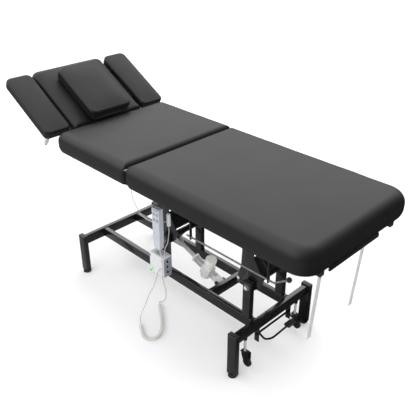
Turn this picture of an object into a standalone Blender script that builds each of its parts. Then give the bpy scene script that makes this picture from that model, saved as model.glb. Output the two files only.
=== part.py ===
"""Electric massage table: a three-section padded top on two swinging lift arms over a tube base.

X runs along the table with +X at the foot end, Y runs across it, and Z is up from the floor.
"""

import math

import bmesh
import bpy
from mathutils import Matrix, Vector

# Fits and finishing
gap = 0.0003
weld = 0.002
overrun = 0.004
running = 0.0006
sliding = 0.0004
tube_edge = 0.0025
plate_edge = 0.0008
thick_plate = 0.005
thin_plate = 0.0025

# Base frame of rectangular tube
frame_length = 1.098
tube_wide = 0.025
tube_tall = 0.050
leg_wide = 0.050
leg_outer_y = 0.266
leg_top = 0.228
bar_top = 0.225
glide_height = 0.010
glide_radius = 0.021
glide_stem_radius = 0.009
rail_y = 0.113
post_wide = 0.045
post_top = 0.405

# Lift linkage
pivot_height = 0.382
pivot_foot_x = 0.500
pivot_head_x = -0.030
arm_length = 0.290
arm_lean = math.radians(10.0)
cheek_y = 0.095
lower_rod_radius = 0.008
upper_rod_radius = 0.007
rod_head_radius = 0.013
rod_head_length = 0.007
sleeve_wall = 0.006
spacer_radius = 0.008
panel_thick = 0.004

# Actuator
actuator_bar_x = 0.260
actuator_pin_x = 0.225
actuator_pin_z = 0.200
actuator_pin_radius = 0.005
actuator_eye_radius = 0.014
actuator_eye_half = 0.0185
clevis_half = 0.0205
lever_reach = 0.090
lever_turn = math.radians(129.2)
lever_half = 0.006
lever_radius = 0.015
outer_tube_radius = 0.019
outer_tube_end = 0.1836
rod_radius = 0.010
rod_inner_end = 0.125
rod_bore_start = 0.024
fork_length = 0.062
fork_tall = 0.030
fork_half = 0.0125
fork_slot_half = 0.0078
fork_slot_deep = 0.042
motor_at = 0.090
motor_radius = 0.0275
motor_top = 0.078
motor_low = -0.046
gear_long = 0.056
gear_wide = 0.050
gear_tall = 0.052

# Control box
box_long = 0.102
box_deep = 0.056
box_tall = 0.115
box_centre_x = -0.029
box_front_y = -0.182
box_bottom_z = 0.205
box_edge = 0.006
button_radius = 0.0065
button_proud = 0.0025
button_depth = 0.006

# Top frame
top_rail_y = 0.230
top_rail_head_x = -0.150
top_rail_foot_x = 0.921
top_rail_top = 0.7447
top_rail_tall = 0.030
upper_bar_offset = 0.036
ear_long = 0.060

# Cushions
top_half_width = 0.338
leg_bottom = 0.745
leg_head_x = -0.0200
leg_foot_x = 0.940
leg_edge_top = 0.845
leg_crown = 0.010
seam_z = 0.822
seam_x = -0.0235
seam_half = 0.0035
seam_radius = 0.0022
seam_leaf_near = 0.0012
seam_leaf_far = 0.0031
mid_head_x = -0.552
mid_bottom = 0.7485
mid_tilt = 0.0
mid_round = 0.042
mid_corner = 0.038
board_thick = 0.012
board_inset = 0.030
cushion_round = 0.048
seam_round = 0.026
corner_round = 0.085
small_corner = 0.016
side_draw = 0.010

# Head section, measured along and square to its own board from its hinge
head_hinge_x = -0.577
head_hinge_z = 0.732
head_tilt = math.radians(29.5)
head_start = 0.036
head_end = 0.456
head_half_width = 0.213
head_bottom = 0.010
head_edge_top = 0.090
head_crown = 0.009
arm_inner_y = 0.226
arm_outer_y = 0.366
arm_start = 0.046
arm_end = 0.440
arm_bottom = 0.047
arm_top = 0.092
arm_crown = 0.006
arm_hinge_y = 0.2245
arm_hinge_n = 0.036
arm_pin_radius = 0.005
pillow_start = 0.034
pillow_end = 0.376
pillow_half = 0.121
pillow_tall = 0.056
pillow_crown = 0.012

# Foot end
end_bar_long = 0.315
end_bar_tall = 0.018
end_bar_thick = 0.008
end_bar_x = 0.931
end_bar_flange = 0.050
end_bar_y = -0.046
strap_wide = 0.024
strap_thick = 0.002
strap_rod_radius = 0.003
strap_long = 0.375
strap_y = 0.144
strap_x = 0.866
strap_top = 0.715
strap_lean = math.radians(3.6)
strap_holes = 18
hole_wide = 0.009
hole_tall = 0.011

# Release lever under the near side rail
lever_rod_radius = 0.004
lever_rod_y = -0.220
lever_rod_z = 0.570
lever_rod_start = 0.235
lever_rod_bend = 0.712
lever_knob_x = 0.782
lever_knob_z = 0.620
lever_knob_radius = 0.013

# Castors and their pedal
castor_y = 0.177
castor_x = frame_length / 2
wheel_radius = 0.021
wheel_wide = 0.018
wheel_centre_z = 0.036
fork_plate = 0.002
castor_trail = 0.016
castor_stem_radius = 0.006
castor_stem_top = 0.206
bore_deep = 0.036
carrier_z = 0.098
carrier_thick = 0.010
carrier_back = 0.022
carrier_rise = 0.064
pedal_pivot_z = 0.140
pedal_radius = 0.005
pedal_bracket_near_y = -0.100
pedal_bracket_far_y = 0.120
pedal_bracket_low = 0.100
pedal_pad_y = 0.072
pedal_pad_long = 0.050
pedal_pad_deep = 0.030
pedal_pad_tall = 0.013
pedal_reach = 0.050
pedal_drop = 0.014

# Handset
handset_x = 0.069
handset_y = -0.240
handset_top = 0.642
handset_long = 0.205
handset_wide = 0.047
handset_low_wide = 0.036
handset_deep = 0.024
handset_edge = 0.006
key_wide = 0.013
key_tall = 0.015
key_proud = 0.0015
key_depth = 0.006
key_pitch = 0.029

# Cords
coil_cord_radius = 0.0023
coil_radius = 0.0078
coil_turns = 46
coil_points = 8
coil_height = 0.0107
lead_radius = 0.0022
switch_cord_radius = 0.0018

# Routes as shares of the base frame's length, in X, Y and Z
coil_route_shares = (
    (-0.0328, -0.1539), (0.0310, -0.1980), (0.0638, -0.2220), (0.1000, -0.2560), (0.1230, -0.2860),
    (0.1285, -0.3140), (0.1150, -0.3370), (0.0880, -0.3430), (0.0540, -0.3290), (0.0137, -0.3033))
handset_lead_shares = (
    (0.0640, -0.2186, 0.3967), (0.0645, -0.2186, 0.3880), (0.0760, -0.2186, 0.3560), (0.0740, -0.2130, 0.2915),
    (0.0665, -0.2095, 0.2405),
    (0.0665, -0.1958, 0.1648), (0.0455, -0.1821, 0.1020), (0.0000, -0.1660, 0.0560), (-0.0360, -0.1500, 0.0260))
box_lead_shares = (
    (-0.0130, -0.2890, 0.0300), (0.0040, -0.2850, 0.0600), (0.0150, -0.2740, 0.0980),
    (0.0100, -0.2459, 0.1340), (0.0125, -0.2100, 0.1850), (0.0060, -0.1850, 0.2250), (0.0036, -0.1700, 0.2341),
    (0.0036, -0.1663, 0.2341))
switch_cord_shares = (
    (-0.1011, -0.2186, 0.6467), (-0.0930, -0.2186, 0.5700), (-0.0440, -0.2186, 0.5133), (0.0095, -0.2150, 0.5003),
    (0.0399, -0.1960, 0.4985), (0.0668, -0.1740, 0.5047))
motor_cord_shares = (
    (0.0764, -0.1730, 0.4882), (0.0754, -0.1730, 0.4541), (0.0555, -0.1650, 0.3932), (0.0206, -0.1500, 0.3425),
    (0.0050, -0.1430, 0.3050), (0.0050, -0.1420, 0.2920))
plug_radius = 0.009
plug_low = 0.537
plug_high = 0.600

# Rocker outline in shares of the arm length: square to the arm and then along it
rocker_shares = (
    (-0.301, -0.038), (-0.250, 0.107), (-0.161, 0.280), (-0.106, 0.530), (-0.060, 0.960), (-0.040, 1.045),
    (0.0, 1.065), (0.040, 1.045), (0.062, 0.960), (0.117, 0.483), (0.223, 0.195), (0.264, 0.149),
    (0.180, 0.000), (0.060, -0.078), (0.0, -0.086), (-0.100, -0.078))
panel_low_shares = (0.216, 0.200)
panel_high_shares = (0.112, 0.488)
spacer_shares = (-0.247, 0.047)

COARSE = 16
ROUND = 24


def clear_scene():
    for thing in list(bpy.data.objects):
        bpy.data.objects.remove(thing, do_unlink=True)


def collection_named(name):
    made = bpy.data.collections.new(name)
    bpy.context.scene.collection.children.link(made)
    return made


def material_named(name, colour, roughness, metallic=0.0):
    made = bpy.data.materials.new(name)
    made.use_nodes = True
    shader = made.node_tree.nodes["Principled BSDF"]
    shader.inputs["Base Color"].default_value = (*colour, 1.0)
    shader.inputs["Roughness"].default_value = roughness
    shader.inputs["Metallic"].default_value = metallic
    made.diffuse_color = (*colour, 1.0)
    return made


clear_scene()
table = collection_named("massage_table")
helpers = collection_named("helpers")
helpers.hide_render = True

PAINT = ("black_paint", (0.02, 0.02, 0.022), 0.4, 0.0)
VINYL = ("black_vinyl", (0.018, 0.018, 0.018), 0.45, 0.0)
PLASTIC = ("black_plastic", (0.03, 0.03, 0.03), 0.5, 0.0)
RUBBER = ("black_rubber", (0.025, 0.025, 0.025), 0.8, 0.0)
STEEL = ("zinc_steel", (0.72, 0.73, 0.75), 0.3, 1.0)
GREY = ("light_grey_plastic", (0.62, 0.65, 0.68), 0.4, 0.0)
WHITE = ("white_plastic", (0.86, 0.87, 0.88), 0.35, 0.0)
GREEN = ("green_plastic", (0.1, 0.55, 0.2), 0.35, 0.0)
BOARD = ("board", (0.09, 0.08, 0.07), 0.8, 0.0)


def finish(thing, name, look, parent, place=(0.0, 0.0, 0.0), turn=(0.0, 0.0, 0.0), helper=False):
    """Names the object, gives it its own material and puts it in its collection."""
    thing.name = name
    thing.location = place
    thing.rotation_euler = turn
    thing.parent = parent
    (helpers if helper else table).objects.link(thing)
    if helper:
        thing.hide_render = True
        thing.display_type = "WIRE"
    else:
        label, colour, roughness, metallic = look
        thing.data.materials.append(material_named(f"{name}_{label}", colour, roughness, metallic))
    return thing


def joint(name, place, pitch=0.0, parent=None, roll=0.0):
    """An empty on a joint's axis. Pitch turns it about Y."""
    empty = bpy.data.objects.new(name, None)
    empty.location = place
    empty.rotation_euler = (roll, pitch, 0.0)
    empty.parent = parent
    table.objects.link(empty)
    return empty


def bevel(thing, width, segments=1):
    if width:
        tool = thing.modifiers.new("edges", "BEVEL")
        tool.width = width
        tool.segments = segments
        tool.limit_method = "ANGLE"
        tool.angle_limit = math.radians(40.0)
    return thing


def from_bmesh(shape, name, smooth=False):
    data = bpy.data.meshes.new(name)
    bmesh.ops.recalc_face_normals(shape, faces=shape.faces)
    shape.to_mesh(data)
    shape.free()
    if smooth:
        data.shade_smooth()
    return bpy.data.objects.new(name, data)


def box(name, size, centre, look=None, parent=None, edge=0.0, segments=1, turn=(0.0, 0.0, 0.0)):
    shape = bmesh.new()
    bmesh.ops.create_cube(shape, size=1.0, matrix=Matrix.Diagonal((*size, 1.0)))
    made = finish(from_bmesh(shape, name), name, look, parent, centre, turn, look is None)
    return bevel(made, edge, segments)


def cylinder(name, radius, length, centre, axis, look=None, parent=None, edge=0.0, sides=ROUND, low=None):
    """A cylinder or, with low given, a cone whose radius at the axis's start is low."""
    turns = {"X": Matrix.Rotation(math.pi / 2, 4, "Y"), "Y": Matrix.Rotation(-math.pi / 2, 4, "X"), "Z": Matrix()}
    shape = bmesh.new()
    bmesh.ops.create_cone(shape, cap_ends=True, segments=sides, radius1=radius if low is None else low,
                          radius2=radius, depth=length, matrix=turns[axis])
    made = finish(from_bmesh(shape, name, True), name, look, parent, centre, helper=look is None)
    for face in made.data.polygons:
        face.use_smooth = len(face.vertices) == 4
    return bevel(made, edge)


def prism(name, outline, thickness, centre_y, look=None, parent=None, edge=0.0):
    """An outline in X and Z, thickened along Y."""
    shape = bmesh.new()
    loops = []
    for side in (-0.5, 0.5):
        loops.append([shape.verts.new((x, centre_y + side * thickness, z)) for x, z in outline])
    shape.faces.new(loops[0])
    shape.faces.new(reversed(loops[1]))
    for i in range(len(outline)):
        j = (i + 1) % len(outline)
        shape.faces.new((loops[0][i], loops[0][j], loops[1][j], loops[1][i]))
    return bevel(finish(from_bmesh(shape, name), name, look, parent, helper=look is None), edge)


def combine(thing, others, operation):
    for other in others:
        tool = thing.modifiers.new(operation.lower(), "BOOLEAN")
        tool.operation = operation
        tool.solver = "EXACT"
        tool.object = other
    return thing


def fuse(thing, *others):
    return combine(thing, others, "UNION")


def cut(thing, *others):
    return combine(thing, others, "DIFFERENCE")


def eased(route, count):
    """Points at even spacing on a smooth curve through the route's points."""
    fine = []
    ends = [route[0] * 2 - route[1]] + list(route) + [route[-1] * 2 - route[-2]]
    for i in range(len(route) - 1):
        a, b, c, d = ends[i:i + 4]
        for k in range(24):
            t = k / 24
            fine.append((b * 2 + (c - a) * t + (a * 2 - b * 5 + c * 4 - d) * t * t
                         + (b * 3 - a - c * 3 + d) * t * t * t) / 2)
    fine.append(route[-1])
    run = [0.0]
    for a, b in zip(fine, fine[1:]):
        run.append(run[-1] + (b - a).length)
    points, j = [], 0
    for i in range(count):
        want = run[-1] * i / (count - 1)
        while j < len(run) - 2 and run[j + 1] < want:
            j += 1
        share = (want - run[j]) / (run[j + 1] - run[j])
        points.append(fine[j].lerp(fine[j + 1], share))
    return points


def cord(name, points, radius, look, parent=None, fineness=1):
    data = bpy.data.curves.new(name, "CURVE")
    data.dimensions = "3D"
    data.bevel_depth = radius
    data.bevel_resolution = fineness
    data.use_fill_caps = True
    line = data.splines.new("POLY")
    line.points.add(len(points) - 1)
    for spot, point in zip(line.points, points):
        spot.co = (*point, 1.0)
    return finish(bpy.data.objects.new(name, data), name, look, parent)


def rounded_plan(x0, x1, half, corners, inset, steps):
    """A rectangle's outline, drawn in by inset. Corners holds the radii at x0 and at x1."""
    points = []
    for cx, sy, r, start in ((x1, -1, corners[1], -90), (x1, 1, corners[1], 0),
                             (x0, 1, corners[0], 90), (x0, -1, corners[0], 180)):
        sx = 1 if cx == x1 else -1
        radius = max(r - inset, r * 0.2)
        px = cx - sx * (inset + radius)
        py = sy * (half - inset - radius)
        for k in range(steps + 1):
            angle = math.radians(start + 90.0 * k / steps)
            points.append((px + radius * math.cos(angle), py + radius * math.sin(angle)))
    return points


def cushion(name, x0, x1, half, z0, z_edge, crown, rounds, corners, parent, centre_y=0.0, steps=4, bottom_round=None):
    """An upholstered pad. Its top rounds over by rounds[0] at x0 and rounds[1] elsewhere, and then crowns."""
    draw = side_draw * min(1.0, (z_edge - z0) / leg_edge_top * 8)
    levels = []
    low = bottom_round or draw * 0.6
    levels.append((draw, 0.0, 0.0, 0.0))
    levels.append((draw * 0.25, low / (z_edge - z0), 0.0, 0.0))
    levels.append((0.0, 0.45, 0.0, 0.0))
    top_round = rounds[1]
    for k in range(5):
        angle = math.radians(90.0 * k / 4)
        levels.append((0.0, None, 1.0 - math.cos(angle), math.sin(angle)))
    shape = bmesh.new()
    loops = []
    for inset, share, inward, upward in levels:
        loop = []
        outline = rounded_plan(x0, x1, half, corners, inset + inward * top_round, steps)
        sharp = rounded_plan(x0, x1, half, corners, inset + inward * rounds[0], steps)
        for i, (x, y) in enumerate(outline):
            head_side = i >= 2 * (steps + 1)
            if head_side:
                x = sharp[i][0]
            reach = rounds[0] if head_side else top_round
            z = z0 + share * (z_edge - z0) if share is not None else z_edge - reach + upward * reach
            loop.append(shape.verts.new((x, y + centre_y, z)))
        loops.append(loop)
    centre_x = (x0 + x1) / 2
    rim = loops[-1]
    short = half - top_round
    for share in (0.35, 0.8):
        loop = []
        for corner in rim:
            y = (corner.co.y - centre_y) * (1.0 - share)
            x = centre_x + (corner.co.x - centre_x) * (1.0 - share * short / (x1 - centre_x - top_round) * 0.9)
            z = z_edge + crown * (1.0 - (1.0 - share) ** 2)
            loop.append(shape.verts.new((x, y + centre_y, z)))
        loops.append(loop)
    for a, b in zip(loops, loops[1:]):
        for i in range(len(a)):
            j = (i + 1) % len(a)
            shape.faces.new((a[i], a[j], b[j], b[i]))
    shape.faces.new(reversed(loops[0]))
    shape.faces.new(loops[-1])
    return finish(from_bmesh(shape, name, True), name, VINYL, parent)


def spot(shares):
    return Vector(shares) * frame_length


# Base
frame_x = frame_length / 2
leg_deep = tube_wide
leg_height = leg_top - glide_height - gap
leg_z = leg_top - leg_height / 2
leg_y = leg_outer_y - leg_deep / 2
bar_z = bar_top - tube_tall / 2
for label, side in (("head", -1), ("foot", 1)):
    name = f"end_frame_{label}"
    bar = box(name, (tube_wide, 2 * leg_y, tube_tall), (side * frame_x, 0.0, bar_z), PAINT, edge=tube_edge)
    legs = [box(f"{name}_leg_{k}", (leg_wide, leg_deep, leg_height), (side * frame_x, k * leg_y, leg_z), edge=tube_edge)
            for k in (-1, 1)]
    fuse(bar, *legs)
    if side > 0:
        plate_tall = bar_top - tube_tall - pedal_bracket_low + weld
        for k, y in enumerate((pedal_bracket_near_y, pedal_bracket_far_y)):
            plate = box(f"pedal_bracket_{k}", (tube_wide, thick_plate, plate_tall),
                        (frame_x, y, bar_top - tube_tall + weld - plate_tall / 2), edge=plate_edge)
            fuse(bar, plate)
        hole = cylinder("pedal_pivot_hole", pedal_radius + running, 2 * leg_y - 4 * leg_deep,
                        (frame_x, 0.0, pedal_pivot_z), "Y", sides=COARSE)
        cut(bar, hole)
        for k in (-1, 1):
            cut(bar, cylinder(f"castor_bore_{k}", castor_stem_radius + sliding, bore_deep + overrun,
                              (castor_x, k * castor_y, bar_top - tube_tall + (bore_deep - overrun) / 2), "Z",
                              sides=COARSE))

for label, sx in (("head", -1), ("foot", 1)):
    for way, sy in (("near", -1), ("far", 1)):
        name = f"glide_{label}_{way}"
        place = (sx * frame_x, sy * leg_y * 1.0, glide_height / 2)
        cylinder(name, glide_radius * 0.86, glide_height, place, "Z", RUBBER, edge=plate_edge, sides=COARSE,
                 low=glide_radius)

rail_x_end = frame_x - tube_wide / 2 - gap
for way, side in (("near", -1), ("far", 1)):
    box(f"rail_{way}", (2 * rail_x_end, tube_wide, tube_tall), (0.0, side * rail_y, bar_z), PAINT, edge=tube_edge)

post_tall = post_top - bar_top - gap
rod_hole = lower_rod_radius + running
for label, x in (("head", pivot_head_x), ("foot", pivot_foot_x)):
    for way, side in (("near", -1), ("far", 1)):
        post = box(f"post_{label}_{way}", (post_wide, tube_wide, post_tall),
                   (x, side * rail_y, post_top - post_tall / 2), PAINT, edge=tube_edge)
        cut(post, cylinder(f"post_hole_{label}_{way}", rod_hole, tube_wide + 2 * overrun,
                           (x, side * rail_y, pivot_height), "Y"))
    span = 2 * rail_y + tube_wide + 2 * gap
    rod = cylinder(f"lower_rod_{label}", lower_rod_radius, span + 2 * weld, (x, 0.0, pivot_height), "Y", STEEL)
    for k in (-1, 1):
        head = cylinder(f"lower_rod_head_{label}_{k}", rod_head_radius, rod_head_length,
                        (x, k * (span + rod_head_length) / 2, pivot_height), "Y", sides=6, edge=plate_edge)
        fuse(rod, head)

bar_span = 2 * (rail_y - tube_wide / 2 - gap)
clevis_long = actuator_bar_x - tube_wide / 2 - actuator_pin_x + actuator_eye_radius
actuator_bar = box("actuator_bar", (tube_wide, bar_span, tube_tall), (actuator_bar_x, 0.0, bar_z), PAINT,
                   edge=tube_edge)
for k in (-1, 1):
    plate = box(f"clevis_{k}", (clevis_long + weld, thick_plate, 2 * actuator_eye_radius),
                (actuator_bar_x - tube_wide / 2 + weld / 2 - clevis_long / 2, k * (clevis_half + thick_plate / 2),
                 actuator_pin_z), edge=plate_edge)
    fuse(actuator_bar, plate)
fuse(actuator_bar, cylinder("clevis_pin", actuator_pin_radius, 2 * (clevis_half + thick_plate + weld),
                            (actuator_pin_x, 0.0, actuator_pin_z), "Y", sides=COARSE))

# Control box on the near rail
box_centre = (box_centre_x, box_front_y + box_deep / 2, box_bottom_z + box_tall / 2)
control = box("control_box", (box_long, box_deep, box_tall), box_centre, WHITE, edge=box_edge, segments=2)
slot_wide = box_edge / 2
for k in range(5):
    cut(control, box(f"vent_{k}", (slot_wide, box_deep * 0.55, box_edge),
                     (box_centre_x + (k - 2) * box_edge * 1.6, box_front_y + box_deep / 2, box_bottom_z + box_tall)))
for k in range(3):
    cut(control, box(f"socket_{k}", (box_edge, box_deep * 0.36, box_tall * 0.17),
                     (box_centre_x + box_long / 2, box_front_y + box_deep / 2,
                      box_bottom_z + box_tall * (0.24 + 0.26 * k))))
button_x = box_centre_x - box_long * 0.30
button_z = box_bottom_z + box_tall * 0.19
cut(control, cylinder("button_hole", button_radius + running, 2 * (button_depth + button_proud),
                      (button_x, box_front_y, button_z), "Y"))
power_joint = joint("power_button_joint", (button_x, box_front_y, button_z))
cylinder("power_button", button_radius, button_proud + button_depth / 2,
         (0.0, (button_depth / 2 - button_proud) / 2, 0.0), "Y", GREEN, power_joint, edge=plate_edge, sides=COARSE)

# Rockers: each welded of two cheeks, a cross panel, sleeves and a spacer
sleeve_span = 2 * cheek_y - weld


def rocker(label, x):
    empty = joint(f"rocker_{label}_joint", (x, 0.0, pivot_height), -arm_lean)
    outline = [(a * arm_length, b * arm_length) for a, b in rocker_shares]
    body = prism(f"rocker_{label}", outline, thick_plate, -cheek_y, PAINT, empty)
    fuse(body, prism(f"rocker_{label}_far_cheek", outline, thick_plate, cheek_y, parent=empty))
    low, high = [Vector((a, 0.0, b)) * arm_length for a, b in (panel_low_shares, panel_high_shares)]
    along = high - low
    fuse(body, box(f"rocker_{label}_panel", (panel_thick, sleeve_span + weld, along.length), (low + high) / 2,
                   parent=empty, turn=(0.0, math.atan2(along.x, along.z), 0.0)))
    spacer = Vector((spacer_shares[0], 0.0, spacer_shares[1])) * arm_length
    for part_name, radius, place in (("low_sleeve", rod_hole + sleeve_wall, (0.0, 0.0, 0.0)),
                                     ("top_sleeve", upper_rod_radius + running + sleeve_wall, (0.0, 0.0, arm_length)),
                                     ("spacer", spacer_radius, spacer)):
        fuse(body, cylinder(f"rocker_{label}_{part_name}", radius, sleeve_span + weld, place, "Y", parent=empty,
                            sides=COARSE))
    if label == "head":
        tip = Vector((-math.sin(lever_turn), 0.0, math.cos(lever_turn))) * lever_reach
        web = box("lever_plate", (2 * lever_radius, 2 * lever_half, lever_reach), tip / 2, parent=empty,
                  turn=(0.0, -lever_turn, 0.0))
        eye = cylinder("lever_eye", lever_radius, 2 * lever_half, tip, "Y", parent=empty)
        fuse(body, web, eye)
    cut(body, cylinder(f"rocker_{label}_low_hole", rod_hole, 2 * rail_y, (0.0, 0.0, 0.0), "Y", parent=empty),
        cylinder(f"rocker_{label}_top_hole", upper_rod_radius + running, 2 * rail_y, (0.0, 0.0, arm_length), "Y",
                 parent=empty))
    return empty


rocker("foot", pivot_foot_x)
rocker("head", pivot_head_x)
lift_x = -arm_length * math.sin(arm_lean)
top_pivot_z = pivot_height + arm_length * math.cos(arm_lean)

# Actuator between the base and the head rocker's lever
tip_turn = arm_lean + lever_turn
tip_x = pivot_head_x - lever_reach * math.sin(tip_turn)
tip_z = pivot_height + lever_reach * math.cos(tip_turn)
reach = math.hypot(tip_x - actuator_pin_x, tip_z - actuator_pin_z)
rise = math.atan2(tip_z - actuator_pin_z, actuator_pin_x - tip_x)
actuator = joint("actuator_joint", (actuator_pin_x, 0.0, actuator_pin_z), rise)
motor = cylinder("actuator_body", outer_tube_radius, outer_tube_end - 2 * actuator_eye_radius,
                 (-(outer_tube_end + 2 * actuator_eye_radius) / 2, 0.0, 0.0), "X", GREY, actuator)
eye_block = box("eye_block", (4 * actuator_eye_radius, 2 * actuator_eye_half, 2 * actuator_eye_radius),
                (-actuator_eye_radius, 0.0, 0.0), parent=actuator, edge=plate_edge)
gears = box("gear_block", (gear_long, gear_wide, gear_tall), (-motor_at, 0.0, -weld), parent=actuator,
            edge=box_edge)
can = cylinder("motor_can", motor_radius, motor_top - motor_low, (-motor_at, 0.0, (motor_top + motor_low) / 2), "Z",
               parent=actuator, edge=tube_edge)
fuse(motor, eye_block, gears, can)
bore = cylinder("rod_bore", rod_radius + sliding, outer_tube_end - rod_bore_start + overrun,
                (-(outer_tube_end + rod_bore_start + overrun) / 2, 0.0, 0.0), "X", parent=actuator)
pin_hole = cylinder("eye_hole", actuator_pin_radius + running, 4 * actuator_eye_half, (0.0, 0.0, 0.0), "Y",
                    parent=actuator)
cut(motor, bore, pin_hole)
stroke = joint("actuator_stroke_joint", (-reach, 0.0, 0.0), 0.0, actuator)
rod_long = reach - rod_inner_end - fork_slot_deep
plunger = cylinder("actuator_rod", rod_radius, rod_long, (fork_slot_deep + rod_long / 2, 0.0, 0.0), "X", STEEL, stroke)
fork = box("fork_block", (fork_length, 2 * fork_half, fork_tall),
           (fork_length / 2 - lever_radius, 0.0, 0.0), parent=stroke, edge=plate_edge)
fork_pin = cylinder("fork_pin", actuator_pin_radius * 1.4, 2 * (fork_half + plate_edge * 3), (0.0, 0.0, 0.0), "Y",
                    parent=stroke, sides=COARSE)
fork_slot = box("fork_slot", (fork_slot_deep + 2 * lever_radius, 2 * fork_slot_half, 2 * fork_tall),
                (fork_slot_deep / 2 - lever_radius, 0.0, 0.0), parent=stroke)
fuse(plunger, fork, fork_pin)
cut(plunger, fork_slot)

# Top frame
top_rail_z = top_rail_top - top_rail_tall / 2
for way, side in (("near", -1), ("far", 1)):
    rail = box(f"top_rail_{way}", (top_rail_foot_x - top_rail_head_x, tube_wide, top_rail_tall),
               ((top_rail_foot_x + top_rail_head_x) / 2, side * top_rail_y, top_rail_z), PAINT, edge=tube_edge)
    if side < 0:
        guide_tall = top_rail_z - lever_rod_z + 3 * lever_rod_radius
        for k, x in enumerate((lever_rod_start + tube_wide, lever_rod_bend - tube_wide)):
            fuse(rail, box(f"lever_guide_{k}", (thick_plate, tube_wide / 2, guide_tall),
                           (x, lever_rod_y, top_rail_z - guide_tall / 2), edge=plate_edge))
        cut(rail, cylinder("lever_guide_hole", lever_rod_radius + running, lever_rod_bend - lever_rod_start,
                           ((lever_rod_bend + lever_rod_start) / 2, lever_rod_y, lever_rod_z), "X"))
top_bar_span = 2 * (top_rail_y - tube_wide / 2 - gap)
for label, x in (("head", pivot_head_x + lift_x), ("foot", pivot_foot_x + lift_x)):
    cross = box(f"top_bar_{label}", (tube_wide, top_bar_span, top_rail_tall),
                (x - upper_bar_offset, 0.0, top_rail_z), PAINT, edge=tube_edge)
    ear_y = cheek_y + thick_plate / 2 + 2 * plate_edge + thick_plate / 2
    ear_edge = 1.5 * (upper_rod_radius + running)
    ear_low = top_pivot_z - ear_edge
    ear_high = top_rail_top - top_rail_tall + 4 * weld
    for k in (-1, 1):
        fuse(cross, box(f"top_ear_{label}_{k}", (ear_long, thick_plate, ear_high - ear_low),
                        (x + ear_edge - ear_long / 2, k * ear_y, (ear_high + ear_low) / 2), edge=plate_edge))
    ear_span = 2 * ear_y + thick_plate + 2 * gap
    fuse(cross, cylinder(f"upper_rod_{label}", upper_rod_radius, ear_span + 2 * weld, (x, 0.0, top_pivot_z), "Y"))
    for k in (-1, 1):
        fuse(cross, cylinder(f"upper_rod_head_{label}_{k}", rod_head_radius * 0.8, rod_head_length,
                             (x, k * (ear_span - 2 * gap + rod_head_length - plate_edge) / 2, top_pivot_z), "Y",
                             sides=6, edge=plate_edge))

end_bar = box("end_bar", (end_bar_thick, end_bar_long, end_bar_tall),
              (end_bar_x, end_bar_y, leg_bottom - gap - end_bar_tall / 2), PAINT, edge=plate_edge)
fuse(end_bar, box("end_bar_flange", (end_bar_flange, end_bar_long - 2 * thick_plate, thin_plate),
                  (end_bar_x - end_bar_flange / 2, end_bar_y, leg_bottom - gap - plate_edge - thin_plate / 2)))

hook_top = top_rail_top - top_rail_tall
hook_low = handset_top - handset_edge * 5
near_rail = table.objects["top_rail_near"]
fuse(near_rail,
     box("hook_plate", (handset_wide * 0.5, tube_wide * 0.8, thin_plate + weld),
         (handset_x, -top_rail_y, hook_top + (weld - thin_plate) / 2)),
     box("handset_hook", (handset_wide * 0.5, thin_plate, hook_top + weld - hook_low),
         (handset_x, handset_y + handset_deep * 0.5 + gap + thin_plate / 2, (hook_top + weld + hook_low) / 2),
         edge=plate_edge))

# Leg section's board and cushion
leg_long = leg_foot_x - leg_head_x
board_low = leg_bottom
leg_cushion = cushion("leg_cushion", leg_head_x, leg_foot_x, top_half_width, leg_bottom, leg_edge_top, leg_crown,
                      (seam_round, cushion_round), (small_corner, corner_round), None)
cut(leg_cushion, box("leg_pocket", (leg_long - 2 * board_inset, 2 * (top_half_width - board_inset),
                                    2 * (board_thick + gap)),
                     ((leg_foot_x + leg_head_x) / 2, 0.0, leg_bottom)))
box("leg_board", (leg_long - 2 * board_inset - 2 * gap, 2 * (top_half_width - board_inset - gap), board_thick),
    ((leg_foot_x + leg_head_x) / 2, 0.0, board_low + board_thick / 2), BOARD)

# Hinge strip in the seam between the leg and mid sections
strip_low = leg_bottom
strip_thick = seam_half - gap - seam_leaf_near
strip = box("seam_hinge", (strip_thick, 2 * (top_half_width - small_corner), seam_z - strip_low),
            (seam_x + seam_leaf_near + strip_thick / 2, 0.0, (seam_z + strip_low) / 2), STEEL)
fuse(strip, cylinder("seam_pin", seam_radius, 2 * (top_half_width - small_corner / 2), (seam_x, 0.0, seam_z), "Y",
                     sides=COARSE),
     box("seam_foot", (board_inset + tube_wide, top_half_width, thin_plate),
         (seam_x + seam_leaf_near + (board_inset + tube_wide) / 2, 0.0, leg_bottom - gap - thin_plate / 2)),
     box("seam_foot_web", (strip_thick, top_half_width, thin_plate + 2 * weld),
         (seam_x + seam_leaf_near + strip_thick / 2, 0.0, leg_bottom)))

# Mid section, tilted about the seam hinge
mid = joint("mid_section_joint", (seam_x, 0.0, seam_z), mid_tilt)
mid_foot = -seam_half
mid_head = mid_head_x - seam_x
mid_low = mid_bottom - seam_z
mid_high = leg_edge_top - seam_z
mid_cushion = cushion("mid_cushion", -mid_foot, -mid_head, top_half_width, mid_low, mid_high, leg_crown,
                      (seam_round, mid_round), (small_corner, mid_corner), mid)
mid_cushion.rotation_euler = (0.0, 0.0, math.pi)
mid_long = mid_foot - mid_head
pocket = (mid_long - 2 * board_inset, 2 * (top_half_width - board_inset), 2 * (board_thick + gap))
cut(mid_cushion, box("mid_pocket", pocket, ((mid_foot + mid_head) / 2, 0.0, mid_low), parent=mid))
mid_board = box("mid_board", (pocket[0] - 2 * gap, pocket[1] - 2 * gap, board_thick),
                ((mid_foot + mid_head) / 2, 0.0, mid_low + board_thick / 2), BOARD, mid)
leaf_thick = seam_leaf_far - seam_radius - gap / 2
leaf_wide = 2 * (top_half_width - small_corner)
foot_plate = mid_low - gap - thin_plate
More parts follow.
